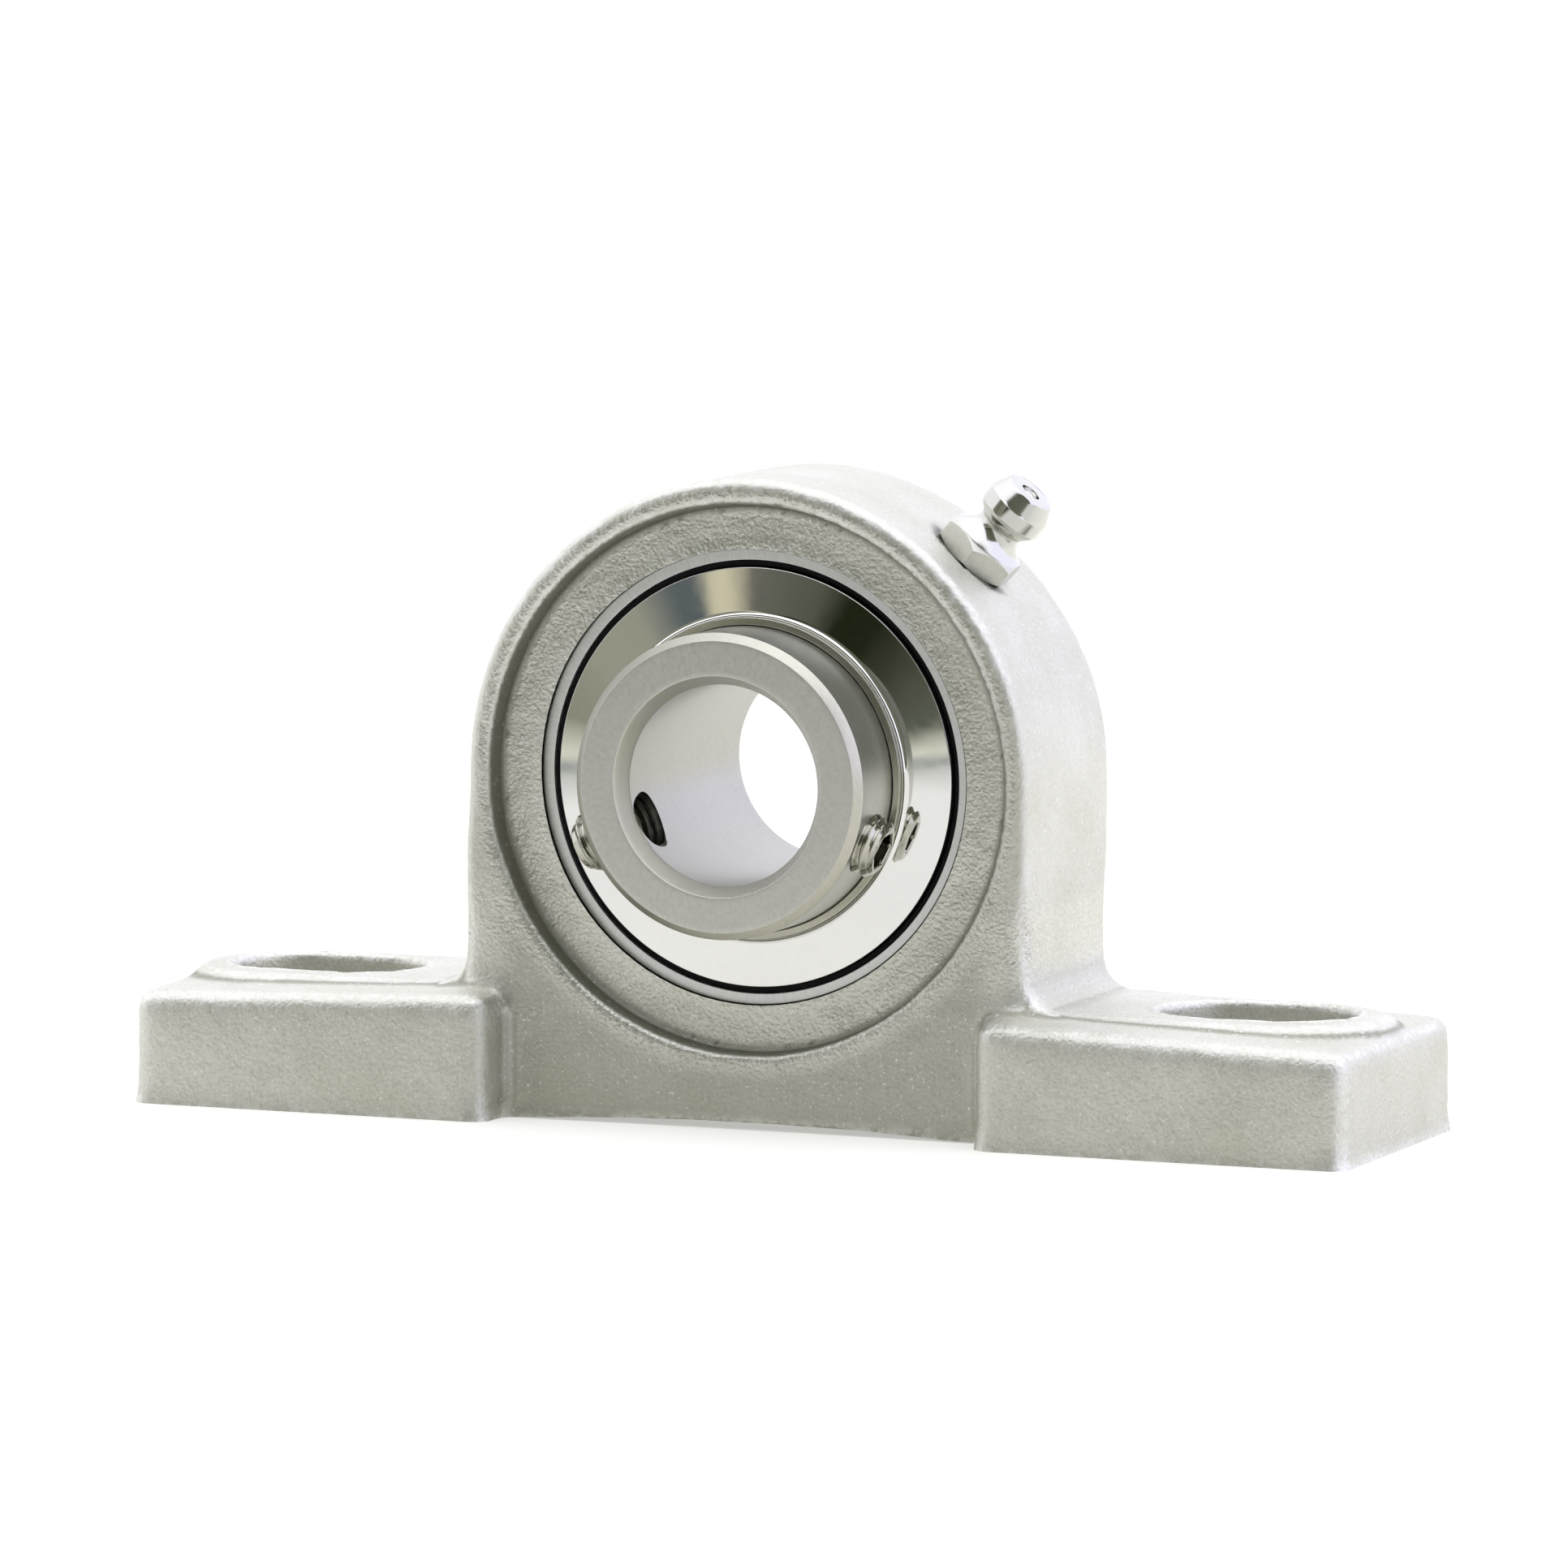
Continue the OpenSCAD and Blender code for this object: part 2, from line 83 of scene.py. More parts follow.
def roundedProfile(corners, radii, arcSteps=5, longest=None):
    # A closed polygon whose corners become arcs. Returns the points and their outward normals, for a polygon
    # that runs counterclockwise with radius to the right and depth upwards. Where a longest step is given,
    # the straight stretches get points of their own.
    leastRadius = 0.005  # mm
    corners = np.array(corners, float)
    count = len(corners)
    points, normals = [], []
    for i in range(count):
        before, here, after = corners[i - 1], corners[i], corners[(i + 1) % count]
        toBefore = (before - here) / np.linalg.norm(before - here)
        toAfter = (after - here) / np.linalg.norm(after - here)
        half = math.acos(np.clip(toBefore @ toAfter, -1, 1)) / 2
        radius = max(radii[i], leastRadius)
        reach = radius / math.tan(half)
        bisector = (toBefore + toAfter) / np.linalg.norm(toBefore + toAfter)
        centre = here + bisector * radius / math.sin(half)
        normalIn = np.array([-toBefore[1], toBefore[0]])
        normalOut = np.array([toAfter[1], -toAfter[0]])
        turnSign = np.sign(normalIn @ (here - centre)) or 1.0
        start, end = here + toBefore * reach, here + toAfter * reach
        for step in np.linspace(0, 1, arcSteps + 1):
            direction = (start - centre) * (1 - step) + (end - centre) * step
            direction /= np.linalg.norm(direction)
            points.append(centre + direction * radius)
            normals.append(direction * turnSign)
        if longest:
            nextRadius = max(radii[(i + 1) % count], leastRadius)
            nextToHere = (here - after) / np.linalg.norm(here - after)
            afterNext = corners[(i + 2) % count] - after
            nextHalf = math.acos(np.clip(nextToHere @ afterNext / np.linalg.norm(afterNext), -1, 1)) / 2
            stop = after + nextToHere * nextRadius / math.tan(nextHalf)
            pieces = int(np.linalg.norm(stop - end) // longest)
            for step in range(1, pieces + 1):
                points.append(end + (stop - end) * step / (pieces + 1))
                normals.append(normalOut)
    return np.array(points), np.array(normals)


def gridFaces(rows, columns, closeRows, closeColumns):
    # Quads between neighbouring rows and columns; a closed direction joins its last line to its first.
    row = np.arange(rows if closeRows else rows - 1)
    column = np.arange(columns if closeColumns else columns - 1)
    r, c = np.meshgrid(row, column, indexing="ij")
    rNext, cNext = (r + 1) % rows, (c + 1) % columns
    corners = [r * columns + c, rNext * columns + c, rNext * columns + cNext, r * columns + cNext]
    return np.stack(corners, axis=-1).reshape(-1, 4)


def newMesh(name, points, faces):
    mesh = bpy.data.meshes.new(name)
    mesh.vertices.add(len(points))
    mesh.vertices.foreach_set("co", np.asarray(points, np.float32).ravel())
    mesh.loops.add(faces.size)
    mesh.loops.foreach_set("vertex_index", faces.astype(np.int32).ravel())
    mesh.polygons.add(len(faces))
    mesh.polygons.foreach_set("loop_start", np.arange(len(faces), dtype=np.int32) * faces.shape[1])
    mesh.polygons.foreach_set("use_smooth", np.ones(len(faces), bool))
    mesh.update(calc_edges=True)
    mesh.validate()
    return mesh


def newObject(name, mesh):
    piece = bpy.data.objects.new(name, mesh)
    scene.collection.objects.link(piece)
    return piece


def closeSeams(mesh, distance=1e-7):
    # Merges rows that meet at a pole and turns the faces outwards.
    shape = bmesh.new()
    shape.from_mesh(mesh)
    bmesh.ops.remove_doubles(shape, verts=shape.verts, dist=distance)
    bmesh.ops.recalc_face_normals(shape, faces=shape.faces)
    shape.to_mesh(mesh)
    shape.free()


def finishPiece(piece, material, body, replaced):
    piece.data.materials.clear()
    piece.data.materials.append(material)
    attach(piece, body)
    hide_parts(replaced)


def turnedPoints(profile, angles):
    # Each profile point (radius, depth) travels round the shaft axis.
    radius, depth = profile[:, :1], profile[:, 1:]
    x = radius * np.cos(angles)
    z = radius * np.sin(angles)
    return np.stack([x, depth + 0 * x, z + shaftHeight], axis=-1).reshape(-1, 3) * mm


def turnedPiece(name, corners, radii, side=1, segments=256, arcSteps=5):
    # A ring round the shaft from a rounded profile; side -1 is its mirror image on the set-screw side.
    profile, normals = roundedProfile(corners, radii, arcSteps)
    if side < 0:
        profile, normals = profile[::-1] * [1, -1], normals[::-1] * [1, -1]
    angles = np.linspace(0, fullTurn, segments, endpoint=False)
    mesh = newMesh(name, turnedPoints(profile, angles), gridFaces(len(profile), segments, True, True))
    across = normals[:, :1]
    directions = np.stack([across * np.cos(angles), normals[:, 1:] + 0 * across * angles,
                           across * np.sin(angles)], axis=-1).reshape(-1, 3)
    mesh.normals_split_custom_set_from_vertices(directions.astype(np.float32))
    return newObject(name, mesh)


def radialPoints(local, angle, depth):
    # Local x, y, z in mm, with local z pointing away from the shaft axis at that angle in degrees.
    a = math.radians(angle)
    axes = np.array([[math.sin(a), 0, -math.cos(a)], [0, 1, 0], [math.cos(a), 0, math.sin(a)]])
    return (local @ axes + [0, depth, shaftHeight]) * mm


def aroundAxis(radius, height, angles):
    # Radius is a grid of heights by angles, or one value per height.
    radius = radius + 0 * angles
    across = [radius * np.cos(angles), radius * np.sin(angles)]
    return np.stack([*across, height + 0 * radius], axis=-1).reshape(-1, 3)


def threadRadius(height, angles, crest, depth, pitch, phase):
    # Right-hand thread: a triangle wave with narrow flats at crest and root, one pitch of height for each turn.
    turn = (height / pitch - angles / fullTurn + phase) % 1.0
    fromCrest = 2 * np.minimum(turn, 1 - turn)
    return crest - depth * np.clip(1.25 * fromCrest - 0.1, 0, 1)


def hexRadius(angles, acrossFlats, turned):
    # Half the width across flats, over the cosine of the angle from the middle of the nearest flat.
    sector = fullTurn / 6
    return acrossFlats / 2 / np.cos((angles + turned) % sector - sector / 2)


def alongFitting(x, y, z):
    # Height of points along the grease fitting's axis, from the shaft axis, and their distance from it.
    turn = math.radians(fittingAngle)
    height = x * math.cos(turn) + (z - shaftHeight) * math.sin(turn)
    return height, np.hypot((z - shaftHeight) * math.cos(turn) - x * math.sin(turn), y)


def readAll(items, key, width, kind=np.float32):
    # One row of values for each vertex, edge or face.
    values = np.empty(len(items) * width, kind)
    items.foreach_get(key, values)
    return values.reshape(-1, width)


def faceCentres(mesh):
    # x, y and z of every face's centre, in mm.
    return readAll(mesh.polygons, "center", 3).T / mm


def skinRound(name, stations, angles, place, depth, closed, crease):
    # A skin round the line that leaves the shaft axis at an angle and a depth. Each station is a height along
    # it and a radius, as one number or one for each angle; every station is a row of points.
    heights, radius = (np.array([row[k] + 0 * angles for row in stations]) for k in (0, 1))
    mesh = newMesh(name, radialPoints(aroundAxis(radius, heights, angles), place, depth),
                   gridFaces(len(stations), len(angles), closed, True))
    closeSeams(mesh)
    mesh.set_sharp_from_angle(angle=math.radians(crease))
    return newObject(name, mesh)


def addNode(tree, kind, inputs=None, **settings):
    node = tree.nodes.new(kind)
    for key, value in settings.items():
        setattr(node, key, value)
    for key, value in (inputs or {}).items():
        if isinstance(value, bpy.types.NodeSocket):
            tree.links.new(value, node.inputs[key])
        else:
            node.inputs[key].default_value = value
    return node


def emptyTree(owner):
    owner.use_nodes = True
    owner.node_tree.nodes.clear()
    return owner.node_tree


def startMaterial(name, metallic, roughness, colour):
    material = bpy.data.materials.new(name)
    tree = emptyTree(material)
    shader = addNode(tree, "ShaderNodeBsdfPrincipled", {"Metallic": metallic, "Roughness": roughness,
                                                        "Base Color": (*colour, 1)})
    out = addNode(tree, "ShaderNodeOutputMaterial")
    tree.links.new(shader.outputs["BSDF"], out.inputs["Surface"])
    return material, tree, shader


def objectPoint(tree, centred=False):
    place = addNode(tree, "ShaderNodeTexCoord").outputs["Object"]
    if centred:  # the shaft axis becomes the pattern's own axis
        place = addNode(tree, "ShaderNodeMapping", {"Vector": place, "Location": (0, 0, -shaftHeight * mm)}
                        ).outputs["Vector"]
    return place


def noiseOf(tree, vector, scale, detail=4, roughness=0.5):
    return addNode(tree, "ShaderNodeTexNoise", {"Vector": vector, "Scale": scale, "Detail": detail,
                                                "Roughness": roughness}).outputs["Fac"]


def ramp(tree, value, low, high, outLow=0, outHigh=1):
    return addNode(tree, "ShaderNodeMapRange", {"Value": value, "From Min": low, "From Max": high,
                                                "To Min": outLow, "To Max": outHigh}).outputs["Result"]


def mathOf(tree, operation, first, second=0.0):
    return addNode(tree, "ShaderNodeMath", {0: first, 1: second}, operation=operation).outputs[0]


def lengthOf(tree, first, second):
    # Square root of the sum of both squares.
    squares = [mathOf(tree, "MULTIPLY", part, part) for part in (first, second)]
    return mathOf(tree, "SQRT", mathOf(tree, "ADD", *squares))


def attributeOf(tree, name):
    return addNode(tree, "ShaderNodeAttribute", attribute_name=name).outputs["Fac"]


def partsOf(tree, vector):
    return addNode(tree, "ShaderNodeSeparateXYZ", {"Vector": vector}).outputs


def mixColours(tree, factor, first, second):
    node = addNode(tree, "ShaderNodeMix", data_type="RGBA")
    for socket, value in ((node.inputs[0], factor), (node.inputs[6], first), (node.inputs[7], second)):
        if isinstance(value, bpy.types.NodeSocket):
            tree.links.new(value, socket)
        else:
            socket.default_value = (*value, 1) if hasattr(value, "__len__") and len(value) == 3 else value
    return node.outputs[2]


def linkAll(tree, shader, colour, roughness, normal):
    for key, value in (("Base Color", colour), ("Roughness", roughness), ("Normal", normal)):
        tree.links.new(value, shader.inputs[key])


def bumpOf(tree, height, strength, distance, normal=None):
    inputs = {"Height": height, "Strength": strength, "Distance": distance}
    if normal is not None:
        inputs["Normal"] = normal
    return addNode(tree, "ShaderNodeBump", inputs).outputs["Normal"]


castFinish = {
    "pebbles": 3000, "cells": 2900, "clumps": 1200, "fine": 8000, "waves": 200, "patches": 70,  # per metre
    "cellShare": 0.6, "darkSkin": (0.66, 0.657, 0.582), "lightSkin": (0.735, 0.732, 0.672),
    # Next two lines: painted shade between the pebbles, painted shade in the hollows, a painted glint for the
    # pebble tops, worn edges partly with painted highlight, and painted contact shade.
    "pitShade": (0.4, 0.4, 0.34), "hollow": (0.28, 0.28, 0.22), "paintedGlint": (0.9, 0.9, 0.88),
    "wornAndGlint": (0.86, 0.86, 0.82), "contactShade": (0.04, 0.045, 0.035),
    "roughness": (0.31, 0.43), "plainDuller": 0.15, "wornSmoother": 0.06,
}


def castSteel():
    # Shot-blasted casting. The relief is pebbles less a share of rounded cells, over clumps and slow waves. Shade
    # is painted between the pebbles and in the hollows, glints are painted on the pebble tops, worn edges have
    # bright flecks that are partly painted highlight, and the plainer skin is duller. How deep the grain is, and
    # where there is wear, painted shade in hollows or painted contact shade, are attributes of the mesh.
    look = castFinish
    material, tree, shader = startMaterial("castSteel", 1.0, 0.34, (0.66, 0.66, 0.62))
    place = objectPoint(tree)
    grainDepth, wear = attributeOf(tree, "castGrain"), attributeOf(tree, "edgeWear")
    hollow, contactShading = attributeOf(tree, "hollow"), attributeOf(tree, "paintedContactShade")
    pebbles = noiseOf(tree, place, look["pebbles"], 3, 0.6)
    cells = addNode(tree, "ShaderNodeTexVoronoi", {"Vector": place, "Scale": look["cells"], "Smoothness": 1.0},
                    feature="SMOOTH_F1").outputs["Distance"]
    clumps = noiseOf(tree, place, look["clumps"], 2, 0.5)
    fine = noiseOf(tree, place, look["fine"], 2, 0.5)
    waves = noiseOf(tree, place, look["waves"], 1, 0.4)
    patches = noiseOf(tree, place, look["patches"], 3, 0.6)
    relief = mathOf(tree, "SUBTRACT", pebbles, mathOf(tree, "MULTIPLY", cells, look["cellShare"]))
    normal = bumpOf(tree, waves, 0.25, 0.0006)
    for height, share, distance in ((clumps, 0.3, 0.00014), (relief, 0.72, 0.0001), (fine, 0.5, 0.00003)):
        normal = bumpOf(tree, height, mathOf(tree, "MULTIPLY", grainDepth, share), distance, normal)
    # Painted shade between the pebbles, deeper where the grain is.
    pitShading = mathOf(tree, "MULTIPLY", ramp(tree, pebbles, 0.5, 0.32, 0, 0.4), grainDepth)
    # Bright flecks on worn edges, partly painted highlight.
    wornGlintFlecks = mathOf(tree, "MULTIPLY", wear, ramp(tree, clumps, 0.42, 0.62, 0.1, 0.85))
    tone = mixColours(tree, ramp(tree, patches, 0.35, 0.65), look["darkSkin"], look["lightSkin"])
    # Mixed in: painted shade between the pebbles and in the hollows, painted glints on the pebble tops, the worn
    # flecks with their painted highlight, and painted contact shade.
    for share, colour in ((pitShading, "pitShade"), (mathOf(tree, "MULTIPLY", hollow, 0.8), "hollow"),
                          (ramp(tree, pebbles, 0.64, 0.7), "paintedGlint"), (wornGlintFlecks, "wornAndGlint"), (contactShading, "contactShade")):
        tone = mixColours(tree, share, tone, look[colour])
    rough = ramp(tree, mathOf(tree, "ADD", fine, clumps), 0.7, 1.3, *look["roughness"])
    rough = mathOf(tree, "ADD", rough, ramp(tree, grainDepth, 1.0, 0.78, 0, look["plainDuller"]))
    rough = mathOf(tree, "SUBTRACT", rough, mathOf(tree, "MULTIPLY", wear, look["wornSmoother"]))
    linkAll(tree, shader, tone, rough, normal)
    return material


def polarPoint(tree, aroundScale, outScale, depthScale):
    # Angle round the shaft, radius and depth, each with its own scale: streaks follow the turning.
    parts = partsOf(tree, objectPoint(tree, True))
    angle = mathOf(tree, "ARCTAN2", parts["Z"], parts["X"])
    radius = lengthOf(tree, parts["X"], parts["Z"])
    return addNode(tree, "ShaderNodeCombineXYZ", {
        "X": mathOf(tree, "MULTIPLY", angle, aroundScale), "Y": mathOf(tree, "MULTIPLY", radius, outScale),
        "Z": mathOf(tree, "MULTIPLY", parts["Y"], depthScale)}).outputs["Vector"]


def machinedSteel(name, colour, roughness, around, out, depth, strength, grain=0.25, leftShade=None, seam=None):
    # Ground or turned steel: fine streaks in the direction of the cut, over a fine grain. A painted shade can be
    # given, which darkens the colour towards the left of the shaft. A seam is a circle, by its radius and its
    # shift from the shaft axis, beyond which the colour turns near black.
    markDepth, tintFrom, tintTo, seamBlur = 0.00001, 0.005, -0.009, 0.00005  # metres
    material, tree, shader = startMaterial(name, 1.0, roughness, colour)
    streaks = noiseOf(tree, polarPoint(tree, around, out, depth), 1, 4, 0.6)
    fine = noiseOf(tree, objectPoint(tree), 6000, 3, 0.6)
    patches = noiseOf(tree, objectPoint(tree), 220, 3, 0.55)
    normal = bumpOf(tree, streaks, strength, markDepth)
    normal = bumpOf(tree, fine, grain, markDepth, normal)
    darker = tuple(c * 0.9 for c in colour)
    lighter = tuple(min(c * 1.06, 1) for c in colour)
    tone = mixColours(tree, ramp(tree, streaks, 0.3, 0.7), darker, lighter)
    tone = mixColours(tree, ramp(tree, patches, 0.4, 0.7, 0, 0.3), tone, lighter)
    # Painted shade: the colour darkens towards the left of the shaft.
    if leftShade:
        leftShading = ramp(tree, partsOf(tree, objectPoint(tree))["X"], tintFrom, tintTo)
        tone = mixColours(tree, leftShading, tone, leftShade)
    # Beyond the seam's circle the colour turns near black.
    if seam:
        radius, shift = seam
        parts = partsOf(tree, objectPoint(tree, True))
        reach = lengthOf(tree, mathOf(tree, "SUBTRACT", parts["X"], shift), parts["Z"])
        tone = mixColours(tree, ramp(tree, reach, radius - seamBlur, radius + seamBlur), tone, (0.02, 0.02, 0.016))
    rough = ramp(tree, mathOf(tree, "ADD", streaks, fine), 0.6, 1.4, roughness * 0.85, roughness * 1.15)
    linkAll(tree, shader, tone, rough, normal)
    return material


def polishedSteel(name, colour, roughness, ripple=0.15):
    # Near-mirror surface with slow ripples and faint wiping marks.
    material, tree, shader = startMaterial(name, 1.0, roughness, colour)
    place = objectPoint(tree)
    slow = noiseOf(tree, place, 180, 2, 0.4)
    haze = noiseOf(tree, place, 900, 4, 0.6)
    darker = tuple(c * 0.97 for c in colour)
    tone = mixColours(tree, ramp(tree, haze, 0.3, 0.7), darker, colour)
    rough = ramp(tree, haze, 0.35, 0.75, roughness * 0.7, roughness * 1.5)
    linkAll(tree, shader, tone, rough, bumpOf(tree, slow, ripple, 0.00006))
    return material


def sealRubber():
    # Matt black rubber, faintly mottled.
    material, tree, shader = startMaterial("sealRubber", 0.0, 0.7, (0.006, 0.006, 0.006))
    shader.inputs["Specular IOR Level"].default_value = 0.2
    place = objectPoint(tree)
    mottled = noiseOf(tree, place, 1800, 4, 0.6)
    tone = mixColours(tree, ramp(tree, mottled, 0.35, 0.7), (0.003, 0.003, 0.0035), (0.01, 0.01, 0.01))
    rough = ramp(tree, mottled, 0.3, 0.7, 0.6, 0.8)
    linkAll(tree, shader, tone, rough, bumpOf(tree, mottled, 0.3, 0.00002))
    return material


cast = castSteel()
groundFace = machinedSteel("groundSteel", (0.82, 0.82, 0.81), 0.42, around=160, out=900, depth=900,
                           strength=0.06, seam=(0.02157, -0.00026))
satinRing = machinedSteel("satinSteel", (0.655, 0.655, 0.61), 0.36, around=30, out=1500, depth=3000,
                          strength=0.12, grain=0.35)
honedBore = machinedSteel("honedBore", (0.48, 0.475, 0.435), 0.36, around=20, out=600, depth=2500,
                          strength=0.05, grain=0.1)
# Near black: painted shade on the walls of the threaded holes round the set screws.
shadedHole = machinedSteel("shadedHole", (0.11, 0.11, 0.09), 0.4, around=60, out=1500, depth=1500, strength=0.3)
# Both chamfers get a painted shade towards the left of the shaft.
turnedChamfer = machinedSteel("turnedChamfer", (0.95, 0.94, 0.87), 0.45, around=20, out=2500, depth=4000,
                              strength=0.1, grain=0.08, leftShade=(0.88, 0.86, 0.74))
edgeChamfer = machinedSteel("edgeChamfer", (0.6, 0.585, 0.5), 0.34, around=20, out=2500, depth=4000,
                            strength=0.1, grain=0.2, leftShade=(0.34, 0.34, 0.29))
collarSheet = machinedSteel("collarSheet", (0.5, 0.49, 0.41), 0.22, around=20, out=3000, depth=9000,
                            strength=0.25, grain=0.1)
flingerSheet = polishedSteel("flingerSheet", (0.9, 0.9, 0.87), 0.04)
brightFitting = polishedSteel("brightFitting", (0.66, 0.66, 0.62), 0.13, ripple=0.3)
satinFitting = machinedSteel("satinFitting", (0.62, 0.62, 0.56), 0.3, around=40, out=1200, depth=1200,
                             strength=0.15, grain=0.5)
screwSteel = polishedSteel("screwSteel", (0.56, 0.55, 0.48), 0.14, ripple=0.3)
ballSteel = polishedSteel("ballSteel", (0.85, 0.85, 0.86), 0.05)
springWire = machinedSteel("springWire", (0.6, 0.6, 0.6), 0.3, around=20, out=2000, depth=2000, strength=0.3)
pressedSheet = machinedSteel("pressedSheet", (0.6, 0.59, 0.56), 0.38, around=60, out=1200, depth=1200,
                             strength=0.4)
rubber = sealRubber()
print("materials made")


housingLook = {  # mm and degrees
    "archRadius": 28.5, "archHalfDepth": 11.5, "recessRadius": 26.1, "recessFloor": 9.2, "recessDraft": 0.42,
    "wallBand": 0.35, "seatRadius": 23.53, "seatEdge": 24.2, "easeStart": 22.2, "crispRadius": 24.3,
    "slotCentre": 47.5, "slotHalf": 3.0, "slotRadius": 6.5, "shoulderAngle": 55, "shoulderSpread": 50,
    "shoulderSink": 0.5, "leftSwell": 0.6, "spotHeight": 27.9, "spotRadius": 5.0, "spotEdge": 0.7,
    # On the next line, all but hexReach are strengths of painted shade: at the grease fitting's foot, on the
    # recess wall and on the set-back web.
    "hexReach": 3.8, "fittingShadow": 0.75, "wallShadow": 0.28, "webShade": 0.45,
    "seatGrain": 0.05, "wallGrain": 0.12, "lowSofter": 0.22, "sideSofter": 0.5,
    "cellLevels": 8, "smoothings": 8, "softSmoothings": 34, "relief": 0.7, "waveSizes": (7.0, 3.1),
    "waveDepth": 0.1, "lumpSize": 1.5, "lumpDepth": 0.05, "chipSize": 1.1, "chipDepth": 0.1,
}


def shapeArch(points):
    # Draft and hand work of the casting: the recess wall leans in, the back of the shoulders is ground lower,
    # the left cheek swells below the shaft, and a spot under the grease fitting is cut flat. Each moves points
    # towards the shaft axis or along X, by a depth times smooth steps of radius, depth and angle.
    look = housingLook
    x, y, z = points.T
    out = np.hypot(x, z - shaftHeight)
    around = np.degrees(np.arctan2(z - shaftHeight, x))
    lean = smoothStep((out - 24.6) / 1.2) * smoothStep((look["recessRadius"] + look["wallBand"] - out) / 0.3)
    lean *= np.clip((look["archHalfDepth"] - np.abs(y)) / (look["archHalfDepth"] - look["recessFloor"]), 0, 1)
    lean *= np.abs(y) > look["recessFloor"] - 0.3
    lean *= 0.2 + 0.8 * smoothStep(1.3 + 1.3 * (z - shaftHeight) / np.maximum(out, 1e-3))
    shoulder = smoothStep(1 - np.abs(around - look["shoulderAngle"]) / look["shoulderSpread"])
    shoulder *= smoothStep((y + 4) / 14) * smoothStep((out - 26.8) / 1.2) * (out < look["archRadius"] + 1)
    radial = np.stack([x, 0 * y, z - shaftHeight], axis=1) / np.maximum(out, 1e-3)[:, None]
    sink = look["recessDraft"] * lean + look["shoulderSink"] * shoulder
    cheek = smoothStep((shaftHeight - z) / 14) * smoothStep((z - 8) / 8) * smoothStep((-x - 24) / 3)
    moved = points - radial * sink[:, None]
    moved[:, 0] -= look["leftSwell"] * cheek * (np.abs(y) < look["archHalfDepth"] + 0.5)
    height, away = alongFitting(*moved.T)
    flat = look["spotHeight"] + 1.2 * smoothStep((away - look["spotRadius"]) / look["spotEdge"])
    axis = np.array([math.cos(math.radians(fittingAngle)), 0, math.sin(math.radians(fittingAngle))])
    moved += axis * np.where(height > 20, np.minimum(flat - height, 0), 0)[:, None]
    return moved


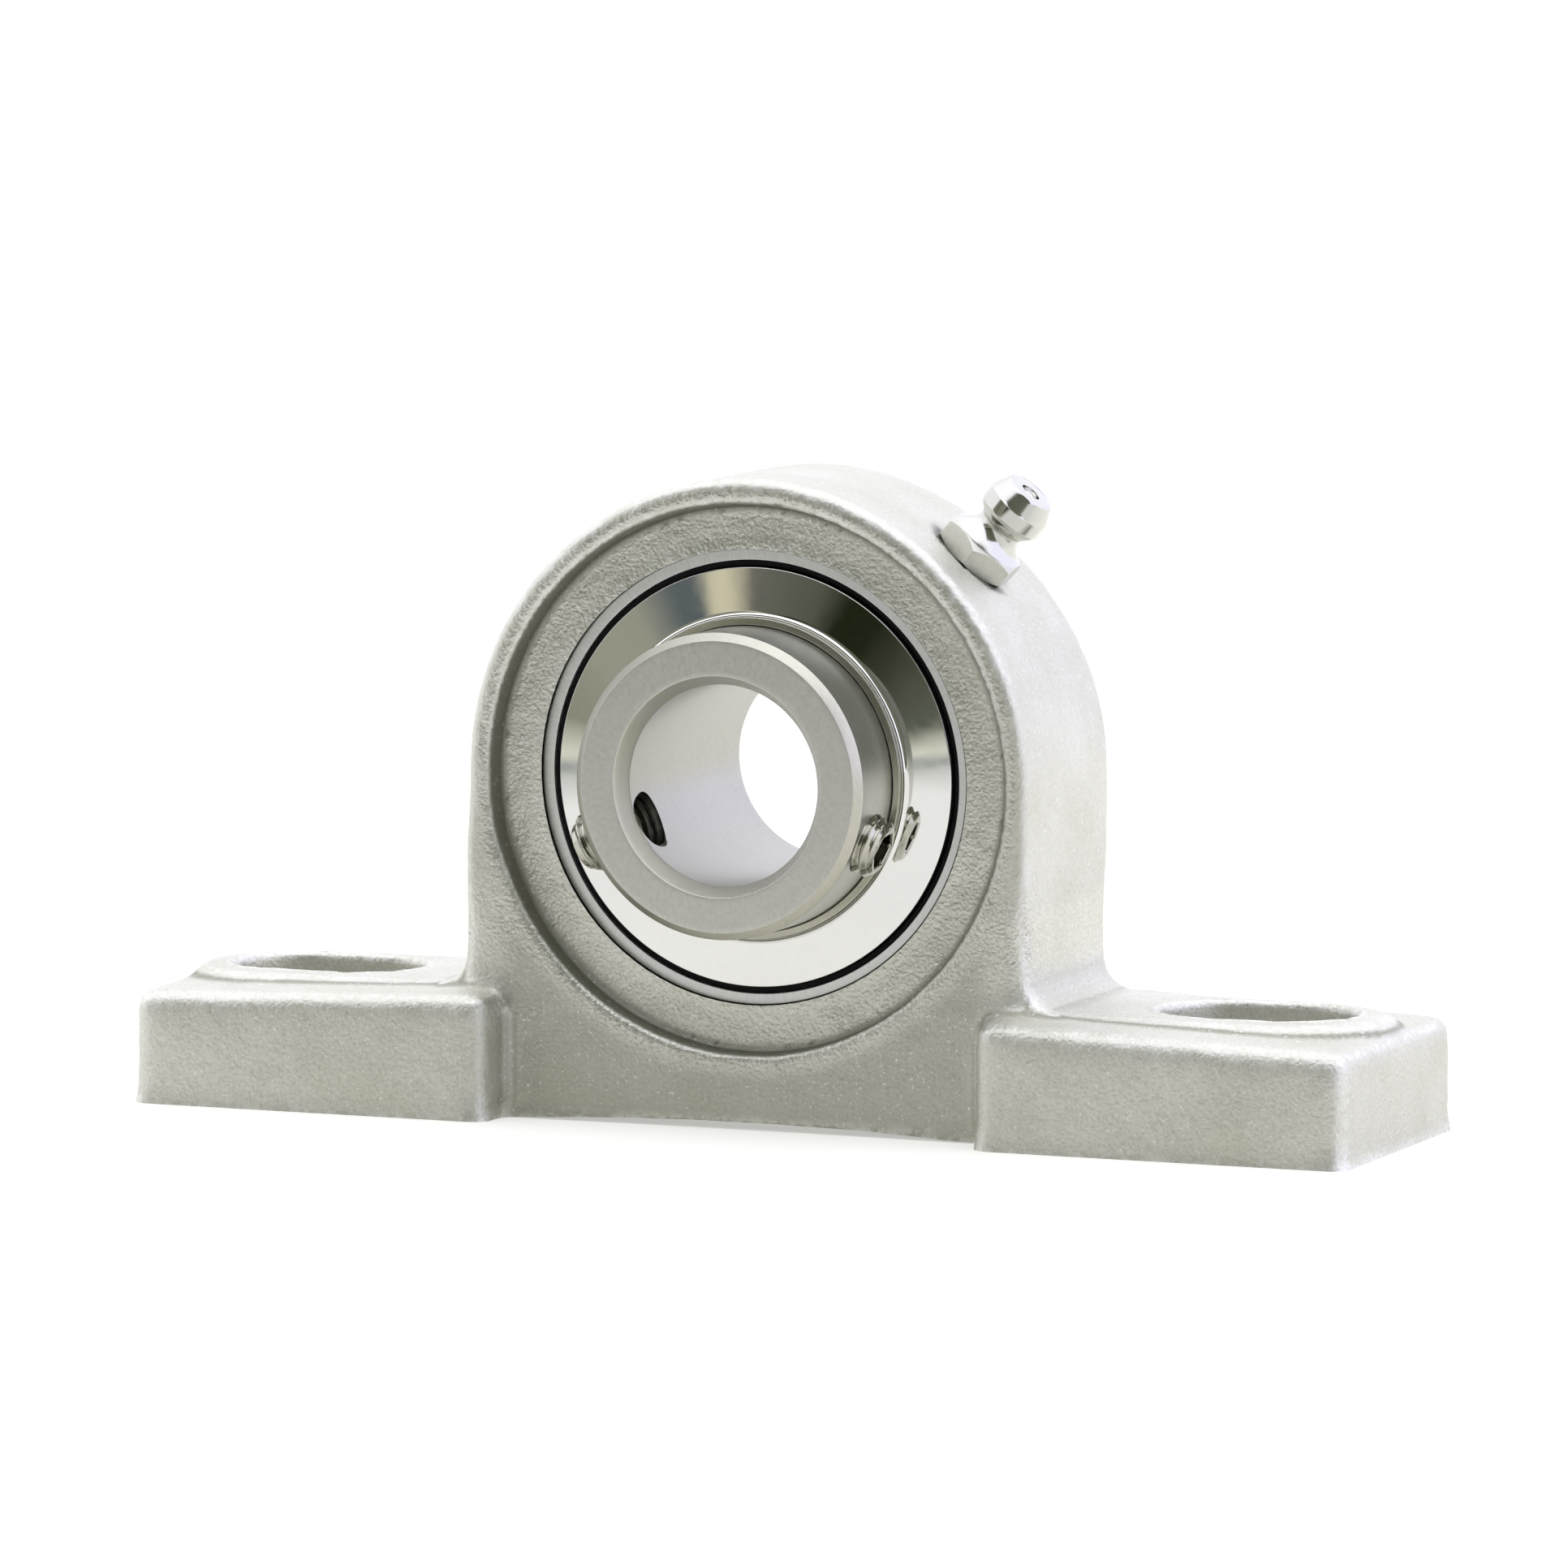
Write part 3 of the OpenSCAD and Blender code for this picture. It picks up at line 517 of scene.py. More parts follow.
def castHousing():
    # The solid is cut into even cells that keep its edges; then the edges are eased, and slow waves, small lumps
    # and chipped edges sink the skin a little. The skin's curvature gives the wear and the hollows, where shade is
    # painted. Contact shade is painted on the seat's wall, thinner on the recess wall, and at the foot of the
    # grease fitting.
    look = housingLook
    mesh = nodes["housing"].data.copy()
    closeSeams(mesh, 1e-6)
    source = newObject("castSource", mesh)
    cells = source.modifiers.new("cells", "REMESH")
    cells.mode, cells.octree_depth, cells.scale, cells.sharpness = "SHARP", look["cellLevels"], 0.99, 1.0
    cells.use_remove_disconnected = False
    skin = bpy.data.meshes.new_from_object(source.evaluated_get(bpy.context.evaluated_depsgraph_get()))
    bpy.data.objects.remove(source)
    count = len(skin.vertices)
    points = readAll(skin.vertices, "co", 3).astype(float) / mm
    normals = readAll(skin.vertices, "normal", 3).astype(float)
    ends = readAll(skin.edges, "vertices", 2, np.int32)
    a, b = ends.T
    degree = np.bincount(np.concatenate([a, b]), minlength=count)[:, None]

    def relax(start, rounds):
        for _ in range(rounds):
            sums = np.stack([np.bincount(a, start[b, k], count) + np.bincount(b, start[a, k], count)
                             for k in range(3)], axis=1)
            start = start + 0.5 * (sums / degree - start)
        return start

    relaxed = relax(points, look["smoothings"])
    soft = relax(relaxed, look["softSmoothings"] - look["smoothings"])
    x, y, z = points.T
    out = np.hypot(x, z - shaftHeight)
    offSeat = smoothStep((out - look["easeStart"]) / 0.8)
    seat = (out < look["seatEdge"]) & (np.abs(y) < look["recessFloor"] - 0.1)
    recessWall = np.abs(out - look["recessRadius"]) < look["wallBand"]
    recessWall &= np.abs(y) < look["archHalfDepth"] - 0.1
    fromSlot = np.hypot(np.maximum(np.abs(np.abs(x) - look["slotCentre"]) - look["slotHalf"], 0), y)
    slotWall = np.abs(fromSlot - look["slotRadius"]) < 0.5
    rim = smoothStep((out - look["recessRadius"]) / 0.5) * smoothStep((look["archRadius"] - 0.9 - out) / 0.6)
    archOut = np.where(z > shaftHeight, out, np.abs(x))
    cheekEdge = smoothStep((archOut - 27.2) / 0.5) * smoothStep((look["archRadius"] + 0.7 - archOut) / 0.3)
    rim = np.maximum(rim, cheekEdge * smoothStep((z - 15) / 3))
    ease = np.where(seat, 0, np.where(recessWall | slotWall, 0.25, look["relief"] * (1 - 0.7 * rim)))
    ease *= smoothStep((z - 0.1) / 0.8) * offSeat
    onFoot = smoothStep((out - look["archRadius"] - 0.5) / 3) * smoothStep((z - 0.5) / 2) * ~slotWall
    moved = points + (relaxed - points) * ease[:, None]
    moved += (soft - moved) * (onFoot * 0.9)[:, None]
    shift = np.einsum("ij,ij->i", relaxed - points, normals)
    wear = smoothStep(-shift / 0.2) * ~seat
    wear *= np.where(out < look["archRadius"] + 0.5, 0.3 + 0.7 * smoothStep((z - shaftHeight - 4) / 12), 1)
    # Painted shade where the skin is concave.
    hollow = smoothStep(shift / 0.15) * ~seat
    longWave, shortWave = look["waveSizes"]
    waves = cellNoise(points, longWave, 11) * 0.6 + cellNoise(points, shortWave, 12) * 0.4
    lumps, chips = cellNoise(points, look["lumpSize"], 13), cellNoise(points, look["chipSize"], 14)
    sink = look["waveDepth"] * (waves - 1) / 2 + look["lumpDepth"] * (lumps - 1) / 2
    sink += look["chipDepth"] * wear * np.minimum(chips - 0.1, 0)
    moved += normals * (sink * offSeat * smoothStep((z - 0.1) / 0.5))[:, None]
    moved = shapeArch(moved)
    moved = np.clip(moved, np.array(cadLow) / mm, np.array(cadHigh) / mm)
    skin.vertices.foreach_set("co", (moved * mm).astype(np.float32).ravel())
    low = smoothStep((20 - z) / 8) * smoothStep((out - 27) / 2)
    # Painted shade also goes on the set-back web below the arch and on the whole recess wall.
    setBack = smoothStep((out - 27) / 2) * smoothStep((22 - z) / 6) * smoothStep((26 - np.abs(x)) / 3) * (y < -8)
    hollow = np.maximum(hollow, np.maximum(look["webShade"] * setBack, recessWall))
    side = smoothStep((out - look["archRadius"] + 1.3) / 0.8) * smoothStep((z - 20) / 6)
    grain = 1 - np.maximum(look["lowSofter"] * low, look["sideSofter"] * side)
    grain = np.where(seat, look["seatGrain"], np.where(recessWall, look["wallGrain"], grain))
    fromCentre = np.hypot(out, y)
    # Painted contact shade: full on the wall of the ring's seat, weaker on the recess wall, strong at the grease
    # fitting's foot on its front side.
    seatWall = (np.abs(fromCentre - look["seatRadius"]) < 0.3) & (np.abs(y) < look["recessFloor"] - 0.12)
    height, away = alongFitting(x, y, z)
    fittingShadow = smoothStep(1.25 - (away - look["hexReach"]) / 1.3) * smoothStep(-y / 1.5) * (height > 22)
    contactShading = np.maximum(seatWall, np.maximum(look["fittingShadow"] * fittingShadow, look["wallShadow"] * recessWall))
    for name, values in (("edgeWear", wear), ("hollow", hollow), ("castGrain", grain), ("paintedContactShade", contactShading)):
        skin.attributes.new(name, "FLOAT", "POINT").data.foreach_set("value", values.astype(np.float32))
    skin.polygons.foreach_set("use_smooth", np.ones(len(skin.polygons), bool))
    skin.update()
    skin.set_sharp_from_angle(angle=math.radians(50))
    # Only the ground seat, the slots and the base keep crisp edges; every cast corner is shaded round.
    sharp = skin.attributes["sharp_edge"].data
    machined = (out < look["crispRadius"]) | (z < 0.5) | slotWall
    sharp.foreach_set("value", readAll(sharp, "value", 1, bool)[:, 0] & machined[ends].all(axis=1))
    piece = newObject("castHousing", skin)
    print("housing:", count, "points", len(skin.polygons), "faces")
    finishPiece(piece, cast, "housing", "housing")


castHousing()


bearing = {  # mm and degrees
    "bore": 9.525, "outerRadius": 14.5, "front": -18.3, "back": 12.7, "boreChamfer": 1.7,
    "boreChamferIn": 0.95, "chamfer": 0.75, "raceCentre": 16.839, "raceRadius": 4.088,
    "screwDepth": -13.8, "leftAngle": 203.8, "rightAngle": 338.8,
}
screw = {
    "crest": 2.92, "threadDepth": 0.42, "holeMinor": 2.66, "pitch": 0.907, "play": 0.05, "flare": 3.0,
    "leftOut": 16.8, "rightOut": 16.15, "leftPhase": 0.0, "rightPhase": 0.81, "leftTaper": 0.45, "rightTaper": 1.3,
    "length": 5.7, "endRadius": 2.2, "socket": 3.18, "socketDepth": 2.4, "socketTurn": 20, "threadStep": 0.045,
    "cup": [(0.75, 0), (0.62, 0.5), (0.12, 1.3), (0, 1.45), (0, 1.6), (0.08, 1.72)],  # height and radius
}
outerRingSizes = {
    "outside": 23.5, "halfWidth": 8.5, "cornerEase": 0.42, "sealSeat": 20.6, "sealDepth": 5.9, "shoulder": 19.13,
    "trackCentre": 16.661, "trackRadius": 4.088,
}
flingerSizes = {  # corners as radius and depth
    "corners": [[14.5, 7.8], [15.0, 7.8], [15.0, 8.6], [19.94, 8.25], [19.94, 8.76], [15.3, 9.149],
                [15.3, 10.2], [14.62, 10.2], [14.5, 9.9]],
    "radii": [0.05, 0.1, 0.2, 0.06, 0.12, 0.6, 0.13, 0.1, 0.05], "collarDepth": 9.42,
}
sealLipSizes = {  # corners as radius and depth
    "corners": [[20.0, 5.9], [20.6, 5.9], [20.6, 7.95], [20.0, 7.95], [19.8, 7.4], [15.5, 7.4], [14.56, 7.3],
                [14.56, 7.05], [15.4, 6.7], [15.8, 6.7], [15.8, 7.1], [20.0, 7.1]],
    "radii": [0.03, 0.1, 0.08, 0.12, 0.1, 0.1, 0.05, 0.05, 0.05, 0.05, 0.03, 0.03],
}


def screwThread(height, angles, out, phase, grow=0.0):
    # The set screw's thread, counted from its outer end, with its crest and root a little further out.
    return threadRadius(height - out, angles, screw["crest"] + grow, screw["threadDepth"], screw["pitch"], phase)


def holeCutter(angle, out, phase):
    # A tap: the screw's own thread, a little larger, from inside the bore to beyond the ring's outside, where
    # it widens at 45 degrees.
    angles = np.linspace(0, fullTurn, 72, endpoint=False)
    heights = np.arange(7.5, 17.5, 0.07)[:, None]
    radius = np.maximum(screwThread(heights, angles, out, phase, screw["play"]), screw["holeMinor"])
    flareOut = screw["flare"] + np.maximum(0, heights - bearing["outerRadius"] + 0.25)
    radius = np.where(heights > bearing["outerRadius"] - 0.3, np.maximum(radius, flareOut), radius)
    rows = np.concatenate([0 * radius[:1], radius, 0 * radius[-1:]])
    levels = np.concatenate([heights[:1], heights, heights[-1:]])
    local = aroundAxis(rows, levels, angles)
    mesh = newMesh("tap", radialPoints(local, angle, bearing["screwDepth"]),
                   gridFaces(len(rows), len(angles), False, True))
    closeSeams(mesh)
    return newObject("tap", mesh)


def innerRing():
    # A rounded profile turned round the shaft, with the ball track as an arc in it. Two taps then cut the
    # threaded holes, and each face gets its finish by its place on the ring.
    b = bearing
    reach = math.sqrt(b["raceRadius"] ** 2 - (b["raceCentre"] - b["outerRadius"]) ** 2)
    sweep = math.atan2(reach, b["raceCentre"] - b["outerRadius"])
    arc = np.linspace(-sweep, sweep, 15)
    race = [[b["raceCentre"] - b["raceRadius"] * math.cos(t), b["raceRadius"] * math.sin(t)] for t in arc]
    corners = [[b["bore"], b["front"] + b["boreChamfer"]], [b["bore"] + b["boreChamferIn"], b["front"]],
               [b["outerRadius"] - b["chamfer"], b["front"]], [b["outerRadius"], b["front"] + b["chamfer"]],
               *race, [b["outerRadius"], b["back"] - b["chamfer"]], [b["outerRadius"] - b["chamfer"], b["back"]],
               [b["bore"] + b["boreChamferIn"], b["back"]], [b["bore"], b["back"] - b["boreChamfer"]]]
    radii = [0.3, 0.08, 0.07, 0.09, 0.1, *[0.02] * (len(race) - 2), 0.1, 0.09, 0.07, 0.08, 0.3]
    profile, _ = roundedProfile(corners, radii, 5, 0.5)
    angles = np.linspace(0, fullTurn, 240, endpoint=False)
    mesh = newMesh("innerRing", turnedPoints(profile, angles), gridFaces(len(profile), 240, True, True))
    piece = newObject("innerRing", mesh)
    for side in ("left", "right"):
        cutter = holeCutter(b[side + "Angle"], screw[side + "Out"], screw[side + "Phase"])
        cut = piece.modifiers.new("hole", "BOOLEAN")
        cut.operation, cut.solver, cut.object = "DIFFERENCE", "EXACT", cutter
        done = bpy.data.meshes.new_from_object(piece.evaluated_get(bpy.context.evaluated_depsgraph_get()))
        piece.modifiers.clear()
        piece.data = done
        bpy.data.objects.remove(cutter)
    mesh = piece.data
    mesh.name = "innerRing"
    mesh.polygons.foreach_set("use_smooth", np.ones(len(mesh.polygons), bool))
    mesh.set_sharp_from_angle(angle=math.radians(32))
    finishPiece(piece, satinRing, "inner", "inner_ring")
    for finish in (honedBore, shadedHole, turnedChamfer, edgeChamfer):
        mesh.materials.append(finish)
    x, y, z = faceCentres(mesh)
    out = np.hypot(x, z - shaftHeight)
    inHole = (out > b["bore"] + 0.02) & (out < b["outerRadius"] - 0.05) & (np.abs(y - b["screwDepth"]) < 3.4)
    inset = b["boreChamfer"] - np.minimum(y - b["front"], b["back"] - y)
    onCone = np.abs(out - b["bore"] - inset * b["boreChamferIn"] / b["boreChamfer"]) < 0.06
    onChamfer = onCone & (out > b["bore"] + 0.01) & (out < b["bore"] + b["boreChamferIn"])
    inHole &= ~onChamfer
    onEdge = (out > b["outerRadius"] - b["chamfer"] + 0.01) & (out < b["outerRadius"] - 0.01)
    onEdge &= y < b["front"] + b["chamfer"]
    finishes = np.select([inHole, onChamfer, onEdge, out < b["bore"] + 0.02], [2, 3, 4, 1], 0)
    mesh.polygons.foreach_set("material_index", finishes)
    mesh.update()
    print("inner ring:", len(mesh.polygons), "faces")


def flinger(name, side, replaced):
    # Pressed disc: hub inside, rolled collar, concave bend, shallow cone and a cut rim, as one turned profile.
    f = flingerSizes
    piece = turnedPiece(name, f["corners"], f["radii"], side, 320, 12)
    finishPiece(piece, flingerSheet, "inner", replaced)
    mesh = piece.data
    mesh.materials.append(collarSheet)
    mesh.polygons.foreach_set("material_index", np.where(np.abs(faceCentres(mesh)[1]) > f["collarDepth"], 1, 0))


def outerRing():
    # Turned profile: a ball-shaped outside, eased face corners, seal seats, shoulders and the ball track.
    r = outerRingSizes
    half, ballOut = r["halfWidth"], r["outside"]
    faceOut = math.sqrt(ballOut ** 2 - half ** 2)
    rise = math.asin(half / ballOut)
    ball = [[ballOut * math.cos(t), ballOut * math.sin(t)] for t in np.linspace(-rise, rise, 23)[1:-1]]
    reach = math.sqrt(r["trackRadius"] ** 2 - (r["shoulder"] - r["trackCentre"]) ** 2)
    sweep = math.atan2(reach, r["shoulder"] - r["trackCentre"])
    track = [[r["trackCentre"] + r["trackRadius"] * math.cos(t), r["trackRadius"] * math.sin(t)]
             for t in np.linspace(sweep, -sweep, 13)]
    corners = [[r["sealSeat"], -half], [faceOut, -half], *ball, [faceOut, half], [r["sealSeat"], half],
               [r["sealSeat"], r["sealDepth"]], [r["shoulder"], r["sealDepth"]], *track,
               [r["shoulder"], -r["sealDepth"]], [r["sealSeat"], -r["sealDepth"]]]
    radii = [0.06, r["cornerEase"], *[0.02] * len(ball), r["cornerEase"], 0.06, 0.1, 0.2,
             *[0.02] * len(track), 0.2, 0.1]
    piece = turnedPiece("outerRing", corners, radii, 1, 256, 6)
    finishPiece(piece, groundFace, "insert", "outer_ring")


def sealLip(name, side, replaced):
    # Turned profile: a rounded bead at the seal's edge, a skin over its steel ring and a thin lip.
    piece = turnedPiece(name, sealLipSizes["corners"], sealLipSizes["radii"], side, 256, 4)
    finishPiece(piece, rubber, "insert", replaced)


innerRing()
outerRing()
flinger("frontFlinger", -1, "front_flinger")
flinger("backFlinger", 1, "back_flinger")
sealLip("frontSealLip", -1, "front_seal_lip")
sealLip("backSealLip", 1, "back_seal_lip")
print("rings made")


def setScrew(name, side, body, replaced):
    # Rows run from the cup's centre over its rim, up the thread, over the end and down the socket.
    s = screw
    out, phase = s[side + "Out"], s[side + "Phase"]
    low = out - s["length"]
    angles = np.linspace(0, fullTurn, 96, endpoint=False)
    stations = [(low + rise, radius) for rise, radius in s["cup"]]  # each is a height and a radius round the axis
    for height in np.arange(low + 0.15, out - 0.1, s["threadStep"]):
        below = out - height
        bottomLimit = 1.75 + (height - low - 0.1) * 1.5  # the ends' cones cut the thread off
        topLimit = s["endRadius"] + s[side + "Taper"] * below + 0.8 * max(0, below - 0.6)
        stations.append((height, np.minimum(screwThread(height, angles, out, phase), min(bottomLimit, topLimit))))
    stations += [(out - 0.06, s["endRadius"]), (out - 0.01, s["endRadius"] - 0.05), (out, s["endRadius"] - 0.12)]
    flats = hexRadius(angles, s["socket"], math.radians(s["socketTurn"]))
    stations += [(out, flats + 0.2), (out - 0.04, flats + 0.1), (out - 0.15, flats)]
    stations += [(height, flats) for height in np.linspace(out - 0.5, out - s["socketDepth"], 5)]
    stations += [(out - s["socketDepth"] - 0.05, 0.7 * flats), (out - s["socketDepth"] - 0.4, 0 * angles)]
    piece = skinRound(name, stations, angles, bearing[side + "Angle"], bearing["screwDepth"], False, 40)
    finishPiece(piece, screwSteel, body, replaced)


setScrew("setScrewLeft", "left", "screw_left", "set_screw_left")
setScrew("setScrewRight", "right", "screw_right", "set_screw_right")
print("set screws made")


fitting = {  # mm from the shaft axis for low, hexLow, hexTop and top; headDepth and edgeDepth below the top
    "low": 24.2, "shank": 2.97, "threadDepth": 0.3, "pitch": 0.907, "hexFlats": 7.5, "hexLow": 27.9,
    "hexHeight": 1.9, "hexTop": 30.3, "hexCone": 3.7, "hexTurn": 37.0, "skirt": 3.55, "sweep": 1.7, "neck": 2.3,
    "headDepth": 4.4, "headRise": 1.5, "head": 3.27, "edgeDepth": 1.62, "waist": 3.2, "tip": 2.45, "top": 36.6,
    "mouth": 0.98, "passage": 1.32, "inlet": 0.66,
}


def greaseFitting():
    # One closed skin of radius against height: threaded shank, hexagon with turned corners, neck,
    # double-cone head, flat tip and the passage inside. The hexagon's faces are satin, the rest bright.
    f = fitting
    angles = np.linspace(0, fullTurn, 216, endpoint=False)
    hexagon = hexRadius(angles, f["hexFlats"], math.radians(-f["hexTurn"]))
    low, top, bottom, hexTop, neck, waist = (f[key] for key in ("low", "top", "hexLow", "hexTop", "neck", "waist"))
    straight = bottom + f["hexHeight"]
    corner = f["hexFlats"] / math.sqrt(3)
    stations = [(low, f["inlet"]), (low, 2.5), (low + 0.3, 2.8)]
    for height in np.arange(low + 0.4, bottom - 0.35, 0.06):
        stations.append((height, threadRadius(height, angles, f["shank"], f["threadDepth"], f["pitch"], 0.0)))
    lowEdge = bottom + np.maximum(0, hexagon - corner + 0.5) * 0.6  # where the lower cone meets the flats
    stations += [(bottom - 0.25, 2.75), (bottom - 0.06, 2.75), (bottom - 0.01, np.minimum(hexagon, corner - 0.56)),
                 (lowEdge, hexagon - 0.02), (lowEdge + 0.03, hexagon)]
    slant = (hexTop - straight) / (corner - f["hexCone"])
    highEdge = straight + (corner - hexagon) * slant  # where the upper cone meets the flats
    for t in np.linspace(0, 1, 6)[1:]:
        stations.append((lowEdge + 0.03 + (highEdge - 0.03 - lowEdge - 0.03) * t, hexagon))
    stations += [(highEdge, hexagon - 0.015), (highEdge + 0.02 * slant, hexagon - 0.035)]
    stations += [(hexTop - 0.02, f["hexCone"]), (hexTop, f["hexCone"] - 0.04), (hexTop + 0.01, f["skirt"] + 0.05),
                 (hexTop + 0.04, f["skirt"])]
    for t in np.linspace(0, 1, 18)[1:]:  # concave sweep from the skirt on the hexagon to the neck
        stations.append((hexTop + 0.04 + f["sweep"] * t, neck + (f["skirt"] - neck) * (1 - t) ** 2.1))
    under, edge = top - f["headDepth"], top - f["edgeDepth"]
    for t in np.linspace(0, 1, 17)[1:]:  # the neck swells into the rounded underside of the head
        stations.append((under + f["headRise"] * t, neck + (f["head"] - neck) * math.sin(t * math.pi / 2) ** 1.4))
    stations += [(edge - 0.04, waist + 0.01), (edge, waist - 0.02)]
    for t in np.linspace(0, 1, 8)[1:]:  # the upper cone of the head
        stations.append((edge + (top - 0.07 - edge) * t, waist - 0.02 + (f["tip"] + 0.06 - waist) * t))
    stations += [(top - 0.02, f["tip"]), (top, f["tip"] - 0.05), (top, f["mouth"] + 0.06),
                 (top - 0.04, f["mouth"] + 0.02), (top - 0.1, f["mouth"]), (top - 0.6, f["mouth"]),
                 (top - 0.7, 1.02), (top - 0.75, 1.06), (top - 0.9, 1.13), (top - 1.1, 1.21),
                 (top - 1.4, f["passage"]), (low + 0.9, f["passage"]), (low + 0.9, f["inlet"])]
    piece = skinRound("greaseFitting", stations, angles, fittingAngle, 0, True, 24)
    finishPiece(piece, brightFitting, "housing", "grease_fitting")
    mesh = piece.data
    mesh.materials.append(satinFitting)
    height, away = alongFitting(*faceCentres(mesh))
    onHexagon = (away > f["hexCone"]) & (height > bottom - 0.1) & (height < hexTop)
    mesh.polygons.foreach_set("material_index", np.where(onHexagon, 1, 0))
    mesh.update()


greaseFitting()
print("grease fitting made")


keptFinish = {  # the solids that keep their own mesh
    "grease_check_ball": ballSteel, "grease_spring": springWire,
    "front_seal_core": pressedSheet, "back_seal_core": pressedSheet, "cage_front": pressedSheet,
    "cage_back": pressedSheet, "cage_rivets": pressedSheet, **{f"ball_{i}": ballSteel for i in range(1, 9)},
}
for nodeName, finish in keptFinish.items():
    for materialSlot in nodes[nodeName].material_slots:
        materialSlot.material = finish


studio = {
    "cameraPlace": (0.41212, -1.03055, 0.15198), "yaw": 21.82, "pitch": 6.18, "roll": 0.15,
    "focal": 14458.7, "imageSide": 1932, "sensor": 36,
    "opening": (-49, 56, -30, 42),  # degrees: left, right, lowest and highest edge of the tent's front opening
    "roomAcross": [(-60, (0.5, 0.5, 0.44)), (-47, (0.2, 0.195, 0.15)), (-34, (0.2, 0.195, 0.15)),
                   (-30.5, (0.33, 0.33, 0.27)), (-28.5, (0.32, 0.32, 0.26)), (-26.5, (0.1, 0.12, 0.13)),
                   (-25.2, (0.1, 0.12, 0.13)), (-24.3, (0.64, 0.6, 0.44)), (-23.3, (0.64, 0.6, 0.44)),
                   (-22, (0.14, 0.14, 0.12)), (-18, (0.09, 0.095, 0.07)), (-16.8, (0.012, 0.016, 0.006)),
                   (-15, (0.016, 0.02, 0.01)), (-13.5, (0.05, 0.055, 0.035)), (-11.5, (0.12, 0.13, 0.1)),
                   (60, (0.17, 0.175, 0.13))],  # what stands in the opening, by degrees from left to right
    "tableEdge": [(-0.3, (0.6, 0.6, 0.52)), (-0.07, (0.72, 0.71, 0.62)), (-0.03, (0.36, 0.38, 0.37)),
                  (-0.015, (0.36, 0.38, 0.37)), (0.0, (0.48, 0.49, 0.46))],  # by metres inside the edge
    "leftWall": (1.24, 1.24, 1.3), "rightWall": (1.3, 1.3, 1.58), "ceiling": (1.6, 1.6, 1.72),
    "tableReach": 12.0, "edgeAcross": (0.722, 0.692), "edgeFrom": 0.306,  # the front edge as a line in X and Y
    "stripFades": (-0.27, -0.08), "table": (0.68, 0.675, 0.62), "tableByEdge": (0.42, 0.42, 0.38),
    "tableGlow": 0.42, "reflectedTint": (1.0, 0.99, 0.88),
}


def makeCamera():
    # Place and angles fitted to the photograph: yaw to the left of +Y, pitch downwards, then a roll.
    yaw, pitch, roll = (math.radians(studio[k]) for k in ("yaw", "pitch", "roll"))
    forward = Vector((-math.sin(yaw) * math.cos(pitch), math.cos(yaw) * math.cos(pitch), -math.sin(pitch)))
    right = Vector((math.cos(yaw), math.sin(yaw), 0))
    up = right.cross(forward)
    rolledRight = right * math.cos(roll) + up * math.sin(roll)
    rolledUp = up * math.cos(roll) - right * math.sin(roll)
    camera = bpy.data.objects.new("camera", bpy.data.cameras.new("camera"))
    scene.collection.objects.link(camera)
    camera.data.sensor_width = studio["sensor"]
    camera.data.lens = studio["focal"] / studio["imageSide"] * studio["sensor"]
    camera.data.clip_start, camera.data.clip_end = 0.05, 20
    camera.matrix_world = Matrix((
        (rolledRight.x, rolledUp.x, -forward.x, studio["cameraPlace"][0]),
        (rolledRight.y, rolledUp.y, -forward.y, studio["cameraPlace"][1]),
        (rolledRight.z, rolledUp.z, -forward.z, studio["cameraPlace"][2]),
        (0, 0, 0, 1)))
    scene.camera = camera


def colourBand(tree, value, low, high, stops):
    # A colour ramp between two values, with its stops given on that scale.
    node = addNode(tree, "ShaderNodeValToRGB", {"Fac": ramp(tree, value, low, high)})
    elements = node.color_ramp.elements
    while len(elements) < len(stops):
        elements.new(0.5)
    for element, (place, colour) in zip(elements, stops):
        element.position = (place - low) / (high - low)
        element.color = (*colour, 1)
    return node.outputs["Color"]


def makeWorld():
    # A white tent that is open towards the front, where parts of a darker room show.
    world = bpy.data.worlds.new("tent")
    tree = emptyTree(world)
    parts = partsOf(tree, addNode(tree, "ShaderNodeTexCoord").outputs["Generated"])
    azimuth = mathOf(tree, "ARCTAN2", parts["X"], mathOf(tree, "MULTIPLY", parts["Y"], -1.0))
    azimuth = mathOf(tree, "MULTIPLY", azimuth, 180 / math.pi)
    elevation = mathOf(tree, "MULTIPLY", mathOf(tree, "ARCSINE", parts["Z"]), 180 / math.pi)

    def between(value, low, high, soft):
        rise = ramp(tree, value, low - soft, low + soft)
        fall = ramp(tree, value, high - soft, high + soft, 1, 0)
        rise.node.interpolation_type = fall.node.interpolation_type = "SMOOTHSTEP"
        return mathOf(tree, "MULTIPLY", rise, fall)

    left, right, lowest, highest = studio["opening"]
    inside = mathOf(tree, "MULTIPLY", between(azimuth, left, right, 2.0), between(elevation, lowest, highest, 2.5))
    wall = mixColours(tree, ramp(tree, parts["X"], -0.6, 0.8), studio["leftWall"], studio["rightWall"])
    wall = mixColours(tree, ramp(tree, parts["Z"], 0.45, 0.9), wall, studio["ceiling"])
    room = colourBand(tree, azimuth, -60, 60, studio["roomAcross"])
    tone = mixColours(tree, inside, wall, room)
    lit = addNode(tree, "ShaderNodeBackground", {"Color": tone, "Strength": 1.0})
    seen = addNode(tree, "ShaderNodeBackground", {"Color": (1, 1, 1, 1), "Strength": 1.0})
    cameraRay = addNode(tree, "ShaderNodeLightPath").outputs["Is Camera Ray"]
    mixed = addNode(tree, "ShaderNodeMixShader", {0: cameraRay, 1: lit.outputs[0], 2: seen.outputs[0]})
    out = addNode(tree, "ShaderNodeOutputWorld")
    tree.links.new(mixed.outputs[0], out.inputs["Surface"])
    scene.world = world


